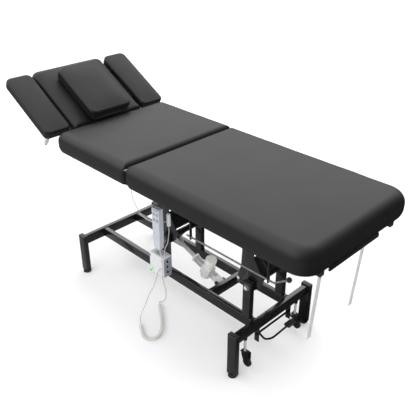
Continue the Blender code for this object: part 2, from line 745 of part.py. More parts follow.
fuse(mid_board,
     box("mid_leaf", (leaf_thick, leaf_wide, -foot_plate), (leaf_thick / 2 - seam_leaf_far, 0.0, foot_plate / 2),
         parent=mid),
     box("mid_leaf_foot", (board_inset + tube_wide, leaf_wide, thin_plate),
         (-seam_leaf_far - (board_inset + tube_wide) / 2 + leaf_thick / 2, 0.0, foot_plate + thin_plate / 2),
         parent=mid),
     box("mid_leaf_seat", (tube_wide / 2, leaf_wide - 2 * board_inset, thin_plate + board_thick / 2),
         (mid_foot - board_inset - tube_wide / 2, 0.0, foot_plate + (thin_plate + board_thick / 2) / 2), parent=mid))
mid_bar_y = top_rail_y - 2 * tube_wide
mid_bar_top = mid_low - gap
mid_bar_tall = tube_wide
mid_bar_foot = top_rail_head_x - seam_x - tube_wide
mid_bar_head = mid_head + board_inset
mid_frame = box("mid_frame", (mid_bar_foot - mid_bar_head, tube_wide, mid_bar_tall),
                ((mid_bar_foot + mid_bar_head) / 2, -mid_bar_y, mid_bar_top - mid_bar_tall / 2), PAINT, mid,
                edge=plate_edge)
fuse(mid_frame, box("mid_frame_far", (mid_bar_foot - mid_bar_head, tube_wide, mid_bar_tall),
                    ((mid_bar_foot + mid_bar_head) / 2, mid_bar_y, mid_bar_top - mid_bar_tall / 2), parent=mid,
                    edge=plate_edge))
for k, x in enumerate((mid_bar_foot - tube_wide, mid_bar_head + tube_wide)):
    fuse(mid_frame, box(f"mid_frame_bar_{k}", (tube_wide, 2 * mid_bar_y, mid_bar_tall - 2 * plate_edge),
                        (x, 0.0, mid_bar_top - mid_bar_tall / 2), parent=mid))

# Head hinge, in the mid section's frame
hinge_offset = Matrix.Rotation(-mid_tilt, 3, "Y") @ Vector((head_hinge_x - seam_x, 0.0, head_hinge_z - seam_z))
lug_long = mid_bar_head - hinge_offset.x + actuator_eye_radius + tube_wide
lug_tall = mid_bar_tall - 2 * plate_edge
for k in (-1, 1):
    fuse(mid_frame, box(f"head_hinge_lug_{k}", (lug_long, thick_plate, lug_tall),
                        (hinge_offset.x - actuator_eye_radius * 0.7 + lug_long / 2, k * (mid_bar_y + tube_wide * 0.3),
                         mid_bar_top - mid_bar_tall / 2), parent=mid))
fuse(mid_frame, cylinder("head_hinge_pin", arm_pin_radius, 2 * (mid_bar_y + tube_wide * 0.3 + thick_plate),
                         hinge_offset, "Y", parent=mid, sides=COARSE))

# Head section, in its own frame: -X along its board and Z square to it
head = joint("head_section_joint", hinge_offset, head_tilt - mid_tilt, mid)
cushion_turn = (0.0, 0.0, math.pi)
head_cushion = cushion("head_cushion", head_start, head_end, head_half_width, head_bottom, head_edge_top, head_crown,
                       (seam_round, seam_round), (small_corner, 2 * small_corner), head)
head_cushion.rotation_euler = cushion_turn
head_long = head_end - head_start
head_mid = -(head_start + head_end) / 2
head_pocket = (head_long - board_inset, 2 * head_half_width - board_inset, 2 * (board_thick + gap))
cut(head_cushion, box("head_pocket", head_pocket, (head_mid, 0.0, head_bottom), parent=head))
head_board = box("head_board", (head_pocket[0] - 2 * gap, head_pocket[1] - 2 * gap, board_thick),
                 (head_mid, 0.0, head_bottom + board_thick / 2), BOARD, head)
arm_y = mid_bar_y - tube_wide * 0.3
strap_reach = head_start + head_long * 0.6
for k in (-1, 1):
    bar_high = head_bottom - gap
    seat_long = head_long / 2
    fuse(head_board, box(f"head_arm_{k}", (strap_reach + actuator_eye_radius, thick_plate * 2, bar_high * 2),
                         (actuator_eye_radius - (strap_reach + actuator_eye_radius) / 2, k * arm_y, 0.0), parent=head),
         box(f"head_arm_seat_{k}", (seat_long, thick_plate * 1.6, bar_high * 2), (head_mid, k * arm_y, weld),
             parent=head))
rung_tall = arm_pin_radius * 1.4
for k, share in enumerate((0.25, 0.75)):
    x = -(head_start + head_long * share)
    fuse(head_board, box(f"head_rung_{k}", (tube_wide * 0.8, 2 * arm_hinge_y, rung_tall),
                         (x, 0.0, head_bottom - gap - rung_tall / 2), parent=head),
         box(f"head_rung_seat_{k}", (tube_wide * 0.7, head_half_width, rung_tall), (x, 0.0, head_bottom), parent=head))
cut(head_board, cylinder("head_arm_hole", arm_pin_radius + running, 2 * top_rail_y, (0.0, 0.0, 0.0), "Y", parent=head))
for k in (-1, 1):
    for i, share in enumerate((0.25, 0.75)):
        x = -(head_start + head_long * share)
        lug_tall = arm_hinge_n - head_bottom + 3 * arm_pin_radius
        fuse(head_board, box(f"arm_hinge_lug_{k}_{i}", (tube_wide * 0.8, 2 * arm_pin_radius, lug_tall),
                             (x, k * (arm_hinge_y - arm_pin_radius * 0.4),
                              (arm_hinge_n + head_bottom - arm_pin_radius) / 2), parent=head))

# Armrests, each folding about a pin beside the head section
arm_mid = (arm_inner_y + arm_outer_y) / 2
for way, side in (("near", -1), ("far", 1)):
    hinge = joint(f"armrest_{way}_joint", (0.0, side * arm_hinge_y, arm_hinge_n), 0.0, head)
    pad = cushion(f"armrest_{way}", arm_start, arm_end, (arm_outer_y - arm_inner_y) / 2, arm_bottom - arm_hinge_n,
                  arm_top - arm_hinge_n, arm_crown, (seam_round * 0.8, seam_round * 0.8),
                  (2 * small_corner, 2 * small_corner), hinge, -side * (arm_mid - arm_hinge_y), steps=3)
    pad.rotation_euler = cushion_turn
    pad_low = arm_bottom - arm_hinge_n - gap
    bracket = box(f"armrest_bracket_{way}",
                  (arm_end - arm_start - 4 * tube_wide, (arm_outer_y - arm_inner_y) * 0.6, thin_plate),
                  (-(arm_start + arm_end) / 2, side * (arm_mid - arm_hinge_y), pad_low - thin_plate / 2), STEEL, hinge,
                  edge=plate_edge)
    for i, share in enumerate((0.25, 0.75)):
        x = -(head_start + head_long * share)
        for j in (-1, 1):
            ear_x = x + j * (tube_wide * 0.4 + gap * 2 + thin_plate / 2)
            wide = arm_mid - arm_hinge_y + 2 * arm_pin_radius
            fuse(bracket, box(f"armrest_ear_{way}_{i}_{j}", (thin_plate, wide, pad_low + 1.6 * arm_pin_radius - gap),
                              (ear_x, side * (wide / 2 - 1.6 * arm_pin_radius), (pad_low - 1.6 * arm_pin_radius - gap) / 2),
                              parent=hinge))
        fuse(bracket, cylinder(f"armrest_pin_{way}_{i}", arm_pin_radius * 0.6, tube_wide * 0.8 + 3 * thin_plate,
                               (x, 0.0, 0.0), "X", parent=hinge, sides=COARSE))
    cut(head_board, cylinder(f"armrest_pin_hole_{way}", arm_pin_radius * 0.6 + running, head_long,
                             (head_mid, side * arm_hinge_y, arm_hinge_n), "X", parent=head, sides=COARSE))

# Loose pillow on the head cushion
pillow_low = head_edge_top + head_crown + gap
pillow = cushion("pillow", pillow_start, pillow_end, pillow_half, pillow_low, pillow_low + pillow_tall, pillow_crown,
                 (seam_round * 0.9, seam_round * 0.9), (2 * small_corner, 2 * small_corner), head,
                 bottom_round=side_draw)
pillow.rotation_euler = cushion_turn

# Hanging perforated straps at the foot end, on a rod under the leg board
rod_half = strap_y + strap_wide / 2 + 2 * thick_plate
strap_rod = cylinder("strap_rod", strap_rod_radius, 2 * rod_half, (strap_x, 0.0, strap_top), "Y", PAINT, sides=COARSE)
for k in (-1, 1):
    ear_rise = leg_bottom - gap - strap_top + 2 * strap_rod_radius
    fuse(strap_rod, box(f"strap_rod_ear_{k}", (tube_wide * 0.6, thick_plate, ear_rise),
                        (strap_x, k * (rod_half - thick_plate), leg_bottom - gap - ear_rise / 2), edge=plate_edge))
for way, side in (("near", -1), ("far", 1)):
    hanger = joint(f"strap_{way}_joint", (strap_x, side * strap_y, strap_top), strap_lean)
    strap = box(f"strap_{way}", (strap_thick, strap_wide, strap_long), (0.0, 0.0, -strap_long / 2), STEEL,
                hanger)
    shape = bmesh.new()
    pitch = strap_long / (strap_holes + 1.0)
    for k in range(strap_holes):
        where = Matrix.Translation((0.0, 0.0, -pitch * (k + 1.0)))
        bmesh.ops.create_cube(shape, size=1.0, matrix=where @ Matrix.Diagonal((overrun * 2, hole_wide, hole_tall, 1.0)))
    cut(strap, finish(from_bmesh(shape, "holes"), f"strap_holes_{way}", None, hanger, helper=True))
    fuse(strap, cylinder(f"strap_eye_{way}", strap_rod_radius + running + strap_thick, strap_wide, (0.0, 0.0, 0.0),
                         "Y", parent=hanger, sides=COARSE))
    cut(strap, cylinder(f"strap_eye_hole_{way}", strap_rod_radius + running, 2 * strap_wide, (0.0, 0.0, 0.0), "Y",
                        parent=hanger, sides=COARSE))

# Release lever
lever = joint("release_lever_joint", (lever_rod_start, lever_rod_y, lever_rod_z))
bend = Vector((lever_rod_bend - lever_rod_start, 0.0, 0.0))
knob = Vector((lever_knob_x - lever_rod_start, 0.0, lever_knob_z - lever_rod_z))
route = [Vector((0.0, 0.0, 0.0)), bend * 0.5, bend * 0.97, bend + (knob - bend) * 0.12, knob]
shaft = cord("release_shaft", route, lever_rod_radius, STEEL, lever, 2)


def mesh_of(curve):
    """The curve's tube as a welded mesh object under the same name and parent."""
    bpy.context.view_layer.update()
    evaluated = curve.evaluated_get(bpy.context.evaluated_depsgraph_get())
    data = bpy.data.meshes.new_from_object(evaluated)
    shape = bmesh.new()
    shape.from_mesh(data)
    bmesh.ops.remove_doubles(shape, verts=shape.verts, dist=running / 100)
    bmesh.ops.recalc_face_normals(shape, faces=shape.faces)
    shape.to_mesh(data)
    shape.free()
    made = bpy.data.objects.new(curve.name, data)
    name, parent, look = curve.name, curve.parent, curve.data.materials[0]
    turn, place = curve.rotation_euler.copy(), curve.location.copy()
    bpy.data.objects.remove(curve, do_unlink=True)
    table.objects.link(made)
    made.name = name
    made.parent = parent
    made.location = place
    made.rotation_euler = turn
    data.materials.clear()
    data.materials.append(look)
    data.shade_smooth()
    return made


lever_rod = mesh_of(shaft)
lever_rod.name = "release_lever"
shape = bmesh.new()
bmesh.ops.create_uvsphere(shape, u_segments=COARSE, v_segments=COARSE // 2, radius=lever_knob_radius)
knob_ball = finish(from_bmesh(shape, "knob", True), "release_knob", None, lever, knob, helper=True)
fuse(lever_rod, knob_ball)

# Castors on a carrier that drops when the pedal is pressed
carrier_joint = joint("carrier_joint", (castor_x, 0.0, carrier_z))
carrier = box("castor_carrier", (carrier_thick, 2 * castor_y + 2 * castor_stem_radius, carrier_thick),
              (-carrier_back, 0.0, carrier_rise), PAINT, carrier_joint, edge=plate_edge)
stem_tall = castor_stem_top - carrier_z + carrier_thick / 2
for k in (-1, 1):
    stem_middle = stem_tall / 2 - carrier_thick / 2
    fuse(carrier, cylinder(f"carrier_stem_{k}", castor_stem_radius, stem_tall, (0.0, k * castor_y, stem_middle), "Z",
                           parent=carrier_joint, sides=COARSE),
         box(f"carrier_arm_{k}", (carrier_back, castor_stem_radius, carrier_thick),
             (-carrier_back / 2, k * castor_y, carrier_rise), parent=carrier_joint))
    cut(carrier, cylinder(f"carrier_hole_{k}", castor_stem_radius * 0.6 + running, carrier_thick * 3,
                          (0.0, k * castor_y, -carrier_thick), "Z", parent=carrier_joint, sides=COARSE))
yoke_half = wheel_wide / 2 + 2 * fork_plate
yoke_top = carrier_z - carrier_thick / 2 - 2 * gap
for way, side in (("near", -1), ("far", 1)):
    swivel = joint(f"castor_{way}_swivel", (castor_x, side * castor_y, yoke_top))
    yoke = box(f"castor_fork_{way}", (2 * wheel_radius * 0.8, 2 * yoke_half, 2 * fork_plate), (0.0, 0.0, -fork_plate),
               STEEL, swivel, edge=plate_edge)
    plate_tall = yoke_top - wheel_centre_z + 3 * fork_plate
    for k in (-1, 1):
        fuse(yoke, box(f"fork_side_{way}_{k}", (wheel_radius * 0.9 + castor_trail, fork_plate, plate_tall),
                       (castor_trail * 0.5, k * (yoke_half - fork_plate / 2), -plate_tall / 2), parent=swivel))
    fuse(yoke, cylinder(f"fork_pivot_{way}", castor_stem_radius * 0.6, carrier_thick,
                        (0.0, 0.0, carrier_thick / 2 - fork_plate), "Z", parent=swivel, sides=COARSE),
         cylinder(f"fork_axle_{way}", fork_plate, 2 * yoke_half, (castor_trail, 0.0, wheel_centre_z - yoke_top), "Y",
                  parent=swivel, sides=COARSE))
    axle = joint(f"castor_{way}_axle", (castor_trail, 0.0, wheel_centre_z - yoke_top), 0.0, swivel)
    wheel = cylinder(f"castor_wheel_{way}", wheel_radius, wheel_wide, (0.0, 0.0, 0.0), "Y", RUBBER, axle,
                     edge=fork_plate)
    cut(wheel, cylinder(f"wheel_bore_{way}", fork_plate + running, 2 * wheel_wide, (0.0, 0.0, 0.0), "Y", parent=axle,
                        sides=COARSE))

pedal_joint = joint("pedal_joint", (frame_x, 0.0, pedal_pivot_z))
near_end = pedal_bracket_near_y - 2 * thick_plate
far_end = pedal_bracket_far_y + 2 * thick_plate
pedal_route = [Vector((0.0, near_end, 0.0)), Vector((0.0, far_end, 0.0))]
pedal = mesh_of(cord("pedal_shaft", pedal_route, pedal_radius, PAINT, pedal_joint, 2))
pedal.name = "pedal"
loop_route = [Vector((0.0, pedal_bracket_near_y + 3 * thick_plate, 0.0)),
              Vector((pedal_reach * 0.9, pedal_bracket_near_y + 3 * thick_plate, -pedal_drop * 0.25)),
              Vector((pedal_reach, pedal_bracket_near_y + 4 * thick_plate, -pedal_drop)),
              Vector((pedal_reach, pedal_bracket_far_y - 4 * thick_plate, -pedal_drop)),
              Vector((pedal_reach * 0.9, pedal_bracket_far_y - 3 * thick_plate, -pedal_drop * 0.25)),
              Vector((0.0, pedal_bracket_far_y - 3 * thick_plate, 0.0))]
loop_bar = mesh_of(cord("pedal_loop", loop_route, pedal_radius * 0.96, PAINT, pedal_joint, 2))
loop_bar.data.materials.clear()
table.objects.unlink(loop_bar)
helpers.objects.link(loop_bar)
loop_bar.hide_render = True
loop_bar.display_type = "WIRE"
fuse(pedal, loop_bar,
     box("pedal_pad", (pedal_pad_deep, pedal_pad_long, pedal_pad_tall), (pedal_reach, pedal_pad_y, -pedal_drop),
         parent=pedal_joint, edge=3 * plate_edge))

# Handset with its keys
handset_joint = joint("handset_joint", (handset_x, handset_y, handset_top))
low_z = -handset_long
half_w, half_low = handset_wide / 2, handset_low_wide / 2
handset_outline = ((-half_w, 0.0), (half_w, 0.0), (half_w, low_z * 0.62), (half_low, low_z), (-half_low, low_z),
                   (-half_w, low_z * 0.62))
handset = prism("handset", handset_outline, handset_deep, 0.0, WHITE, handset_joint, edge=handset_edge)
handset.modifiers["edges"].segments = 2
key_x = handset_wide * 0.22
for i in range(4):
    x = key_x * (1 if i % 2 else -1)
    z = -key_pitch * (1.0 + i // 2)
    cut(handset, box(f"key_hole_{i}", (key_wide + 2 * running, 2 * key_depth, key_tall + 2 * running),
                     (x, -handset_deep / 2, z), parent=handset_joint))
    key = joint(f"handset_key_{i}_joint", (x, -handset_deep / 2, z), 0.0, handset_joint)
    box(f"handset_key_{i + 1}", (key_wide, key_proud + key_depth / 2, key_tall),
        (0.0, (key_depth / 2 - key_proud) / 2, 0.0), GREY, key, edge=plate_edge)

# Cords
coil_path = eased([Vector((x, y, 0.0)) * frame_length + Vector((0.0, 0.0, coil_height)) for x, y in coil_route_shares],
                  coil_turns * coil_points + 1)
coil_run = sum((b - a).length for a, b in zip(coil_path, coil_path[1:]))
coil = []
for i, middle in enumerate(coil_path):
    ahead = coil_path[min(i + 1, len(coil_path) - 1)] - coil_path[max(i - 1, 0)]
    side = ahead.cross(Vector((0.0, 0.0, 1.0))).normalized()
    turns_in = min(i, len(coil_path) - 1 - i) / coil_points
    swell = min(1.0, turns_in / 1.2)
    swell = swell * swell * (3.0 - 2.0 * swell)
    angle = 2.0 * math.pi * i / coil_points
    coil.append(middle + (side * math.sin(angle) + Vector((0.0, 0.0, math.cos(angle)))) * coil_radius * swell)
first = (coil_path[0] - coil_path[1]).normalized() * coil_cord_radius * 2
last = (coil_path[-1] - coil_path[-2]).normalized() * coil_cord_radius * 2
coil = [coil[0] + first] + coil + [coil[-1] + last]
cord("curly_cord", coil, coil_cord_radius, WHITE)
turn_length = [sum((coil[j + 1] - coil[j]).length for j in range(i, min(i + coil_points, len(coil) - 1)))
               for i in range(0, len(coil) - coil_points, coil_points)]
cord_run = [0.0]
for a, b in zip(coil, coil[1:]):
    cord_run.append(cord_run[-1] + (b - a).length)
least = min((coil[i] - coil[j]).length for i in range(len(coil))
            for j in range(i + 1, min(i + coil_points * 3, len(coil)))
            if cord_run[j] - cord_run[i] > 6 * coil_cord_radius)
print(f"curly cord: {coil_turns} curls, {sum(turn_length):.3f} m of cord over {coil_run:.3f} m, "
      f"least gap to itself {(least - 2 * coil_cord_radius) * 1000:.2f} mm")
start_way = (coil[0] - coil[1]).normalized()
end_way = (coil[-1] - coil[-2]).normalized()
lead_step = 5 * lead_radius
to_coil = [coil[0] + start_way * (2 * gap + lead_step), coil[0] + start_way * 2 * gap]
from_coil = [coil[-1] + end_way * 2 * gap, coil[-1] + end_way * (2 * gap + lead_step)]
cord("handset_lead", eased([spot(s) for s in handset_lead_shares] + to_coil, 60), lead_radius, WHITE)
cord("box_lead", eased(from_coil + [spot(s) for s in box_lead_shares], 50), lead_radius, WHITE)
cord("switch_cord", eased([spot(s) for s in switch_cord_shares], 40), switch_cord_radius, WHITE)
cord("motor_cord", eased([spot(s) for s in motor_cord_shares], 40), switch_cord_radius, WHITE)
cylinder("cord_coupling", plug_radius, plug_high - plug_low,
         (motor_cord_shares[0][0] * frame_length, motor_cord_shares[0][1] * frame_length, (plug_high + plug_low) / 2),
         "Z", WHITE, edge=plate_edge, sides=COARSE)

# Middle of the plan box, which the record's positions are counted from
bpy.context.view_layer.update()
graph = bpy.context.evaluated_depsgraph_get()
spans = []
for thing in table.objects:
    if thing.type == "MESH":
        solid = thing.evaluated_get(graph)
        spans += [(thing.matrix_world @ point.co).x for point in solid.to_mesh().vertices]
        solid.to_mesh_clear()
middle_x = (min(spans) + max(spans)) / 2
for thing in list(table.objects) + list(helpers.objects):
    if thing.parent is None:
        thing.location.x -= middle_x
print(f"plan box middle {middle_x:.6f}; actuator reach {reach:.5f}; rise {math.degrees(rise):.3f} deg; "
      f"tip {tip_x:.4f} {tip_z:.4f}; top pivot z {top_pivot_z:.4f}; lift x {lift_x:.4f}")
bpy.context.view_layer.update()
places = {thing.name: tuple(round(v, 5) for v in thing.matrix_world.translation)
          for thing in table.objects if thing.type == "EMPTY"}
for key, value in sorted(places.items()):
    print(key, value)
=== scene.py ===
"""Looks of the electric massage table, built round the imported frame."""

from math import atan2, cos, pi, radians, sin

import bmesh
import bpy
from mathutils import Matrix, Vector, noise


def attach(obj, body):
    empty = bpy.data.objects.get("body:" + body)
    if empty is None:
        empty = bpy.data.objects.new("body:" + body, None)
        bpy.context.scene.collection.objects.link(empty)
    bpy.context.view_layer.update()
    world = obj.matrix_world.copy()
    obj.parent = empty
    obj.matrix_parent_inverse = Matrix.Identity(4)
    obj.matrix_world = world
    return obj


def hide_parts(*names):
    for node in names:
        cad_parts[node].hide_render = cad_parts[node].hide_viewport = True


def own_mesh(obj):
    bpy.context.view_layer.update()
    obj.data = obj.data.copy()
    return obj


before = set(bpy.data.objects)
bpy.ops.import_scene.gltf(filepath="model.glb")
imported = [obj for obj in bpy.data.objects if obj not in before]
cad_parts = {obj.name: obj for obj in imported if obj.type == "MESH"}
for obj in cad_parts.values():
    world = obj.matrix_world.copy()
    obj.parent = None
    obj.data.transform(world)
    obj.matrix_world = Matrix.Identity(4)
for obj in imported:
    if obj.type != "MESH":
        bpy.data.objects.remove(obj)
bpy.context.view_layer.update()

# Sizes and places in metres that several pieces share. Positions are measured from the middle of the
# base, which lies SHIFT along X from the frame's origin.
SHIFT = 0.012536
NEAR_FAR = (("near", -1), ("far", 1))
TUBE, TALL, FLAT = 0.025, 0.05, 0.03
HALF_X, HALF_Y, HALF_TALL = (TUBE / 2, 0, 0), (0, TUBE / 2, 0), (0, 0, TALL / 2)
BOTH = (-1, 1)
TUBE_EDGE, TOP_EDGE, MID_EDGE = 0.003, 0.0028, 0.0022
FRAME_X, LEG_Y = 0.549, 0.2535
RAIL_Y, RAIL_Z = 0.113, 0.2
HEAD_POST_X, FOOT_POST_X = -0.03, 0.5
LOWER_Z, UPPER_Z = 0.382, 0.6676
ARM_LENGTH, LEAN = 0.29, radians(10.0)
TOP_Y, TOP_Z = 0.23, 0.7297
SEAM_Z = 0.822


def at(x, y, z):
    return Vector((x + SHIFT, y, z))


def about_y(place, pitch):
    return Matrix.Translation(place) @ Matrix.Rotation(pitch, 4, "Y")


# Places of the sections. The mid and head sections are built from their hinges.
WORLD = Matrix.Translation((SHIFT, 0.0, 0.0))
MID = about_y(at(-0.0235, 0.0, SEAM_Z), 0.0)
HEAD = about_y(at(-0.577, 0.0, 0.732), radians(29.5))
FLIP = Matrix.Rotation(pi, 4, "Z")
LOCAL = Matrix()

# Materials

BUMP_DEPTH = 0.0004


def node(tree, kind, inputs=None, **settings):
    """A new node with its settings and the values of its inputs."""
    made = tree.nodes.new(kind)
    for name, value in settings.items():
        setattr(made, name, value)
    for name, value in (inputs or {}).items():
        made.inputs[name].default_value = value
    return made


def link(tree, source, output, target, socket):
    tree.links.new(source.outputs[output], target.inputs[socket])


def material(name):
    made = bpy.data.materials.new(name)
    made.use_nodes = True
    return made, made.node_tree, made.node_tree.nodes["Principled BSDF"]


def texture_of(tree, kind, **inputs):
    """A texture in object coordinates."""
    made = node(tree, f"ShaderNodeTex{kind}", inputs)
    link(tree, node(tree, "ShaderNodeTexCoord"), "Object", made, "Vector")
    return made


def grain(tree, shader, layers):
    """Bump at several scales. A layer is (scale, strength), with "cells" added where it isn't noise."""
    last = None
    for scale, strength, *kind in layers:
        if kind:
            texture, height = texture_of(tree, "Voronoi", Scale=scale), "Distance"
            texture.feature = "SMOOTH_F1"
        else:
            texture, height = texture_of(tree, "Noise", Scale=scale, Detail=6.0), "Fac"
        bump = node(tree, "ShaderNodeBump", {"Strength": strength, "Distance": BUMP_DEPTH})
        link(tree, texture, height, bump, "Height")
        if last is not None:
            link(tree, last, "Normal", bump, "Normal")
        last = bump
    link(tree, last, "Normal", shader, "Normal")


def tint(tree, shader, dark, light, scale):
    """Lets the colour drift between two tones over the surface."""
    texture = texture_of(tree, "Noise", Scale=scale, Detail=5.0)
    ramp = node(tree, "ShaderNodeValToRGB")
    for stop, tone, position in zip(ramp.color_ramp.elements, (dark, light), (0.3, 0.7)):
        stop.color, stop.position = (*tone, 1.0), position
    link(tree, texture, "Fac", ramp, "Fac")
    link(tree, ramp, "Color", shader, "Base Color")


def made_of(name, dark, light, rough, *layers, metallic=0.0, spread=0.06, tint_scale=30.0, coat=0.0):
    made, tree, shader = material(name)
    tint(tree, shader, dark, light, tint_scale)
    texture = texture_of(tree, "Noise", Scale=tint_scale * 1.7, Detail=4.0)
    drift = node(tree, "ShaderNodeMapRange", {"To Min": rough - spread, "To Max": rough + spread})
    link(tree, texture, "Fac", drift, "Value")
    link(tree, drift, "Result", shader, "Roughness")
    shader.inputs["Metallic"].default_value = metallic
    shader.inputs["Coat Weight"].default_value = coat
    grain(tree, shader, layers)
    return made


VINYL = made_of("vinyl", (0.005, 0.005, 0.005), (0.0065, 0.0065, 0.0065), 0.45,
                (9.0, 0.1), (620.0, 0.16, "cells"), (1500.0, 0.06),
                spread=0.03, tint_scale=6.0)
UNDER = made_of("under_cloth", (0.012, 0.012, 0.012), (0.022, 0.022, 0.022), 0.9,
                (1400.0, 0.5, "cells"), tint_scale=80.0)
PAINT = made_of("powder_coat", (0.004, 0.004, 0.0043), (0.006, 0.006, 0.0063), 0.25,
                (700.0, 0.12), (2600.0, 0.05), spread=0.05, coat=0.8)
CAP = made_of("black_cap", (0.016, 0.016, 0.017), (0.022, 0.022, 0.023), 0.36, (1800.0, 0.08))
RUBBER = made_of("rubber", (0.014, 0.014, 0.014), (0.024, 0.024, 0.024), 0.72, (900.0, 0.25))
STEEL = made_of("zinc_steel", (0.62, 0.63, 0.65), (0.74, 0.75, 0.77), 0.28,
                (160.0, 0.05), (1400.0, 0.08), metallic=0.7, spread=0.07, tint_scale=60.0)
CHROME = made_of("bright_rod", (0.74, 0.75, 0.76), (0.82, 0.83, 0.84), 0.16, (2200.0, 0.02),
                 metallic=0.5, spread=0.03)
ROD = made_of("rod_steel", (0.2, 0.2, 0.205), (0.27, 0.27, 0.275), 0.28, (1500.0, 0.04),
              metallic=0.5, spread=0.04)
ALUMINIUM = made_of("extruded_tube", (0.42, 0.42, 0.43), (0.5, 0.5, 0.51), 0.3,
                    (420.0, 0.06), metallic=0.25, spread=0.05)
GREY = made_of("motor_grey", (0.7, 0.69, 0.67), (0.76, 0.75, 0.73), 0.38, (900.0, 0.1), spread=0.04)
WHITE = made_of("box_white", (0.58, 0.59, 0.605), (0.64, 0.65, 0.665), 0.4, (1100.0, 0.08), spread=0.04)
BLUEGREY = made_of("panel_blue_grey", (0.2, 0.23, 0.27), (0.25, 0.28, 0.32), 0.38, (1200.0, 0.08))
HANDSET = made_of("handset_grey", (0.42, 0.44, 0.485), (0.47, 0.495, 0.54), 0.36, (1300.0, 0.07))
KEY = made_of("key_grey", (0.22, 0.25, 0.3), (0.28, 0.31, 0.36), 0.45, (1500.0, 0.08))
# Black of the sockets and screws, also used as painted shade inside the box's vent slots.
SOCKET_BLACK_AND_VENT_SHADE = made_of("socket_black_and_vent_shade", (0.008, 0.008, 0.009), (0.015, 0.015, 0.016), 0.5, (1500.0, 0.1))
LEAD = made_of("lead_grey", (0.42, 0.42, 0.41), (0.5, 0.5, 0.49), 0.45, (1500.0, 0.1), spread=0.04)
CORD = made_of("cord_white", (0.66, 0.65, 0.63), (0.74, 0.73, 0.71), 0.42, (1500.0, 0.1), spread=0.04)
STRAP = made_of("strap_zinc", (0.5, 0.5, 0.51), (0.57, 0.57, 0.58), 0.42, (900.0, 0.08),
                metallic=0.1, spread=0.05)
FORK = made_of("fork_black", (0.02, 0.02, 0.021), (0.034, 0.034, 0.035), 0.3, (900.0, 0.08),
               metallic=0.6, spread=0.05)
GREEN, green_tree, green_shader = material("green_lens")
tint(green_tree, green_shader, (0.02, 0.42, 0.03), (0.05, 0.6, 0.06), 300.0)
green_shader.inputs["Roughness"].default_value = 0.25
green_shader.inputs["Emission Color"].default_value = (0.05, 0.75, 0.08, 1.0)
green_shader.inputs["Emission Strength"].default_value = 0.9
grain(green_tree, green_shader, ((1600.0, 0.05),))

# Mesh building

ROUTE_STEPS, WELD_STEP = 32, 0.0022
AXES = {"X": Matrix.Rotation(pi / 2, 4, "Y"), "Y": Matrix.Rotation(-pi / 2, 4, "X"), "Z": LOCAL}


def ease(mesh, edges, radius, segments=2):
    """Rounds the edges off."""
    bmesh.ops.bevel(mesh, geom=edges, offset=radius, offset_type="OFFSET", segments=segments, profile=0.5,
                    affect="EDGES", clamp_overlap=True)


def rims(mesh):
    """The edges of the faces with more than four corners."""
    return [e for e in mesh.edges if any(len(f.verts) > 4 for f in e.link_faces)]


def distinct(points):
    return [p for i, p in enumerate(points) if p not in points[:i]]


def turns(sides):
    return [2 * pi * k / sides for k in range(sides)]


def circle(mesh, centre, side, other, radius, sides):
    """New points round the centre, in the plane of two unit vectors."""
    return [mesh.verts.new(centre + (side * cos(t) + other * sin(t)) * radius)
            for t in turns(sides)]


def skin(mesh, rings, closed=False):
    """Faces from each ring of points to the next."""
    for a, b in zip(rings, rings[1:] + (rings[:1] if closed else [])):
        for k in range(len(a)):
            j = (k + 1) % len(a)
            mesh.faces.new((a[k], a[j], b[j], b[k]))


def outward(mesh):
    bmesh.ops.recalc_face_normals(mesh, faces=mesh.faces)
    return mesh


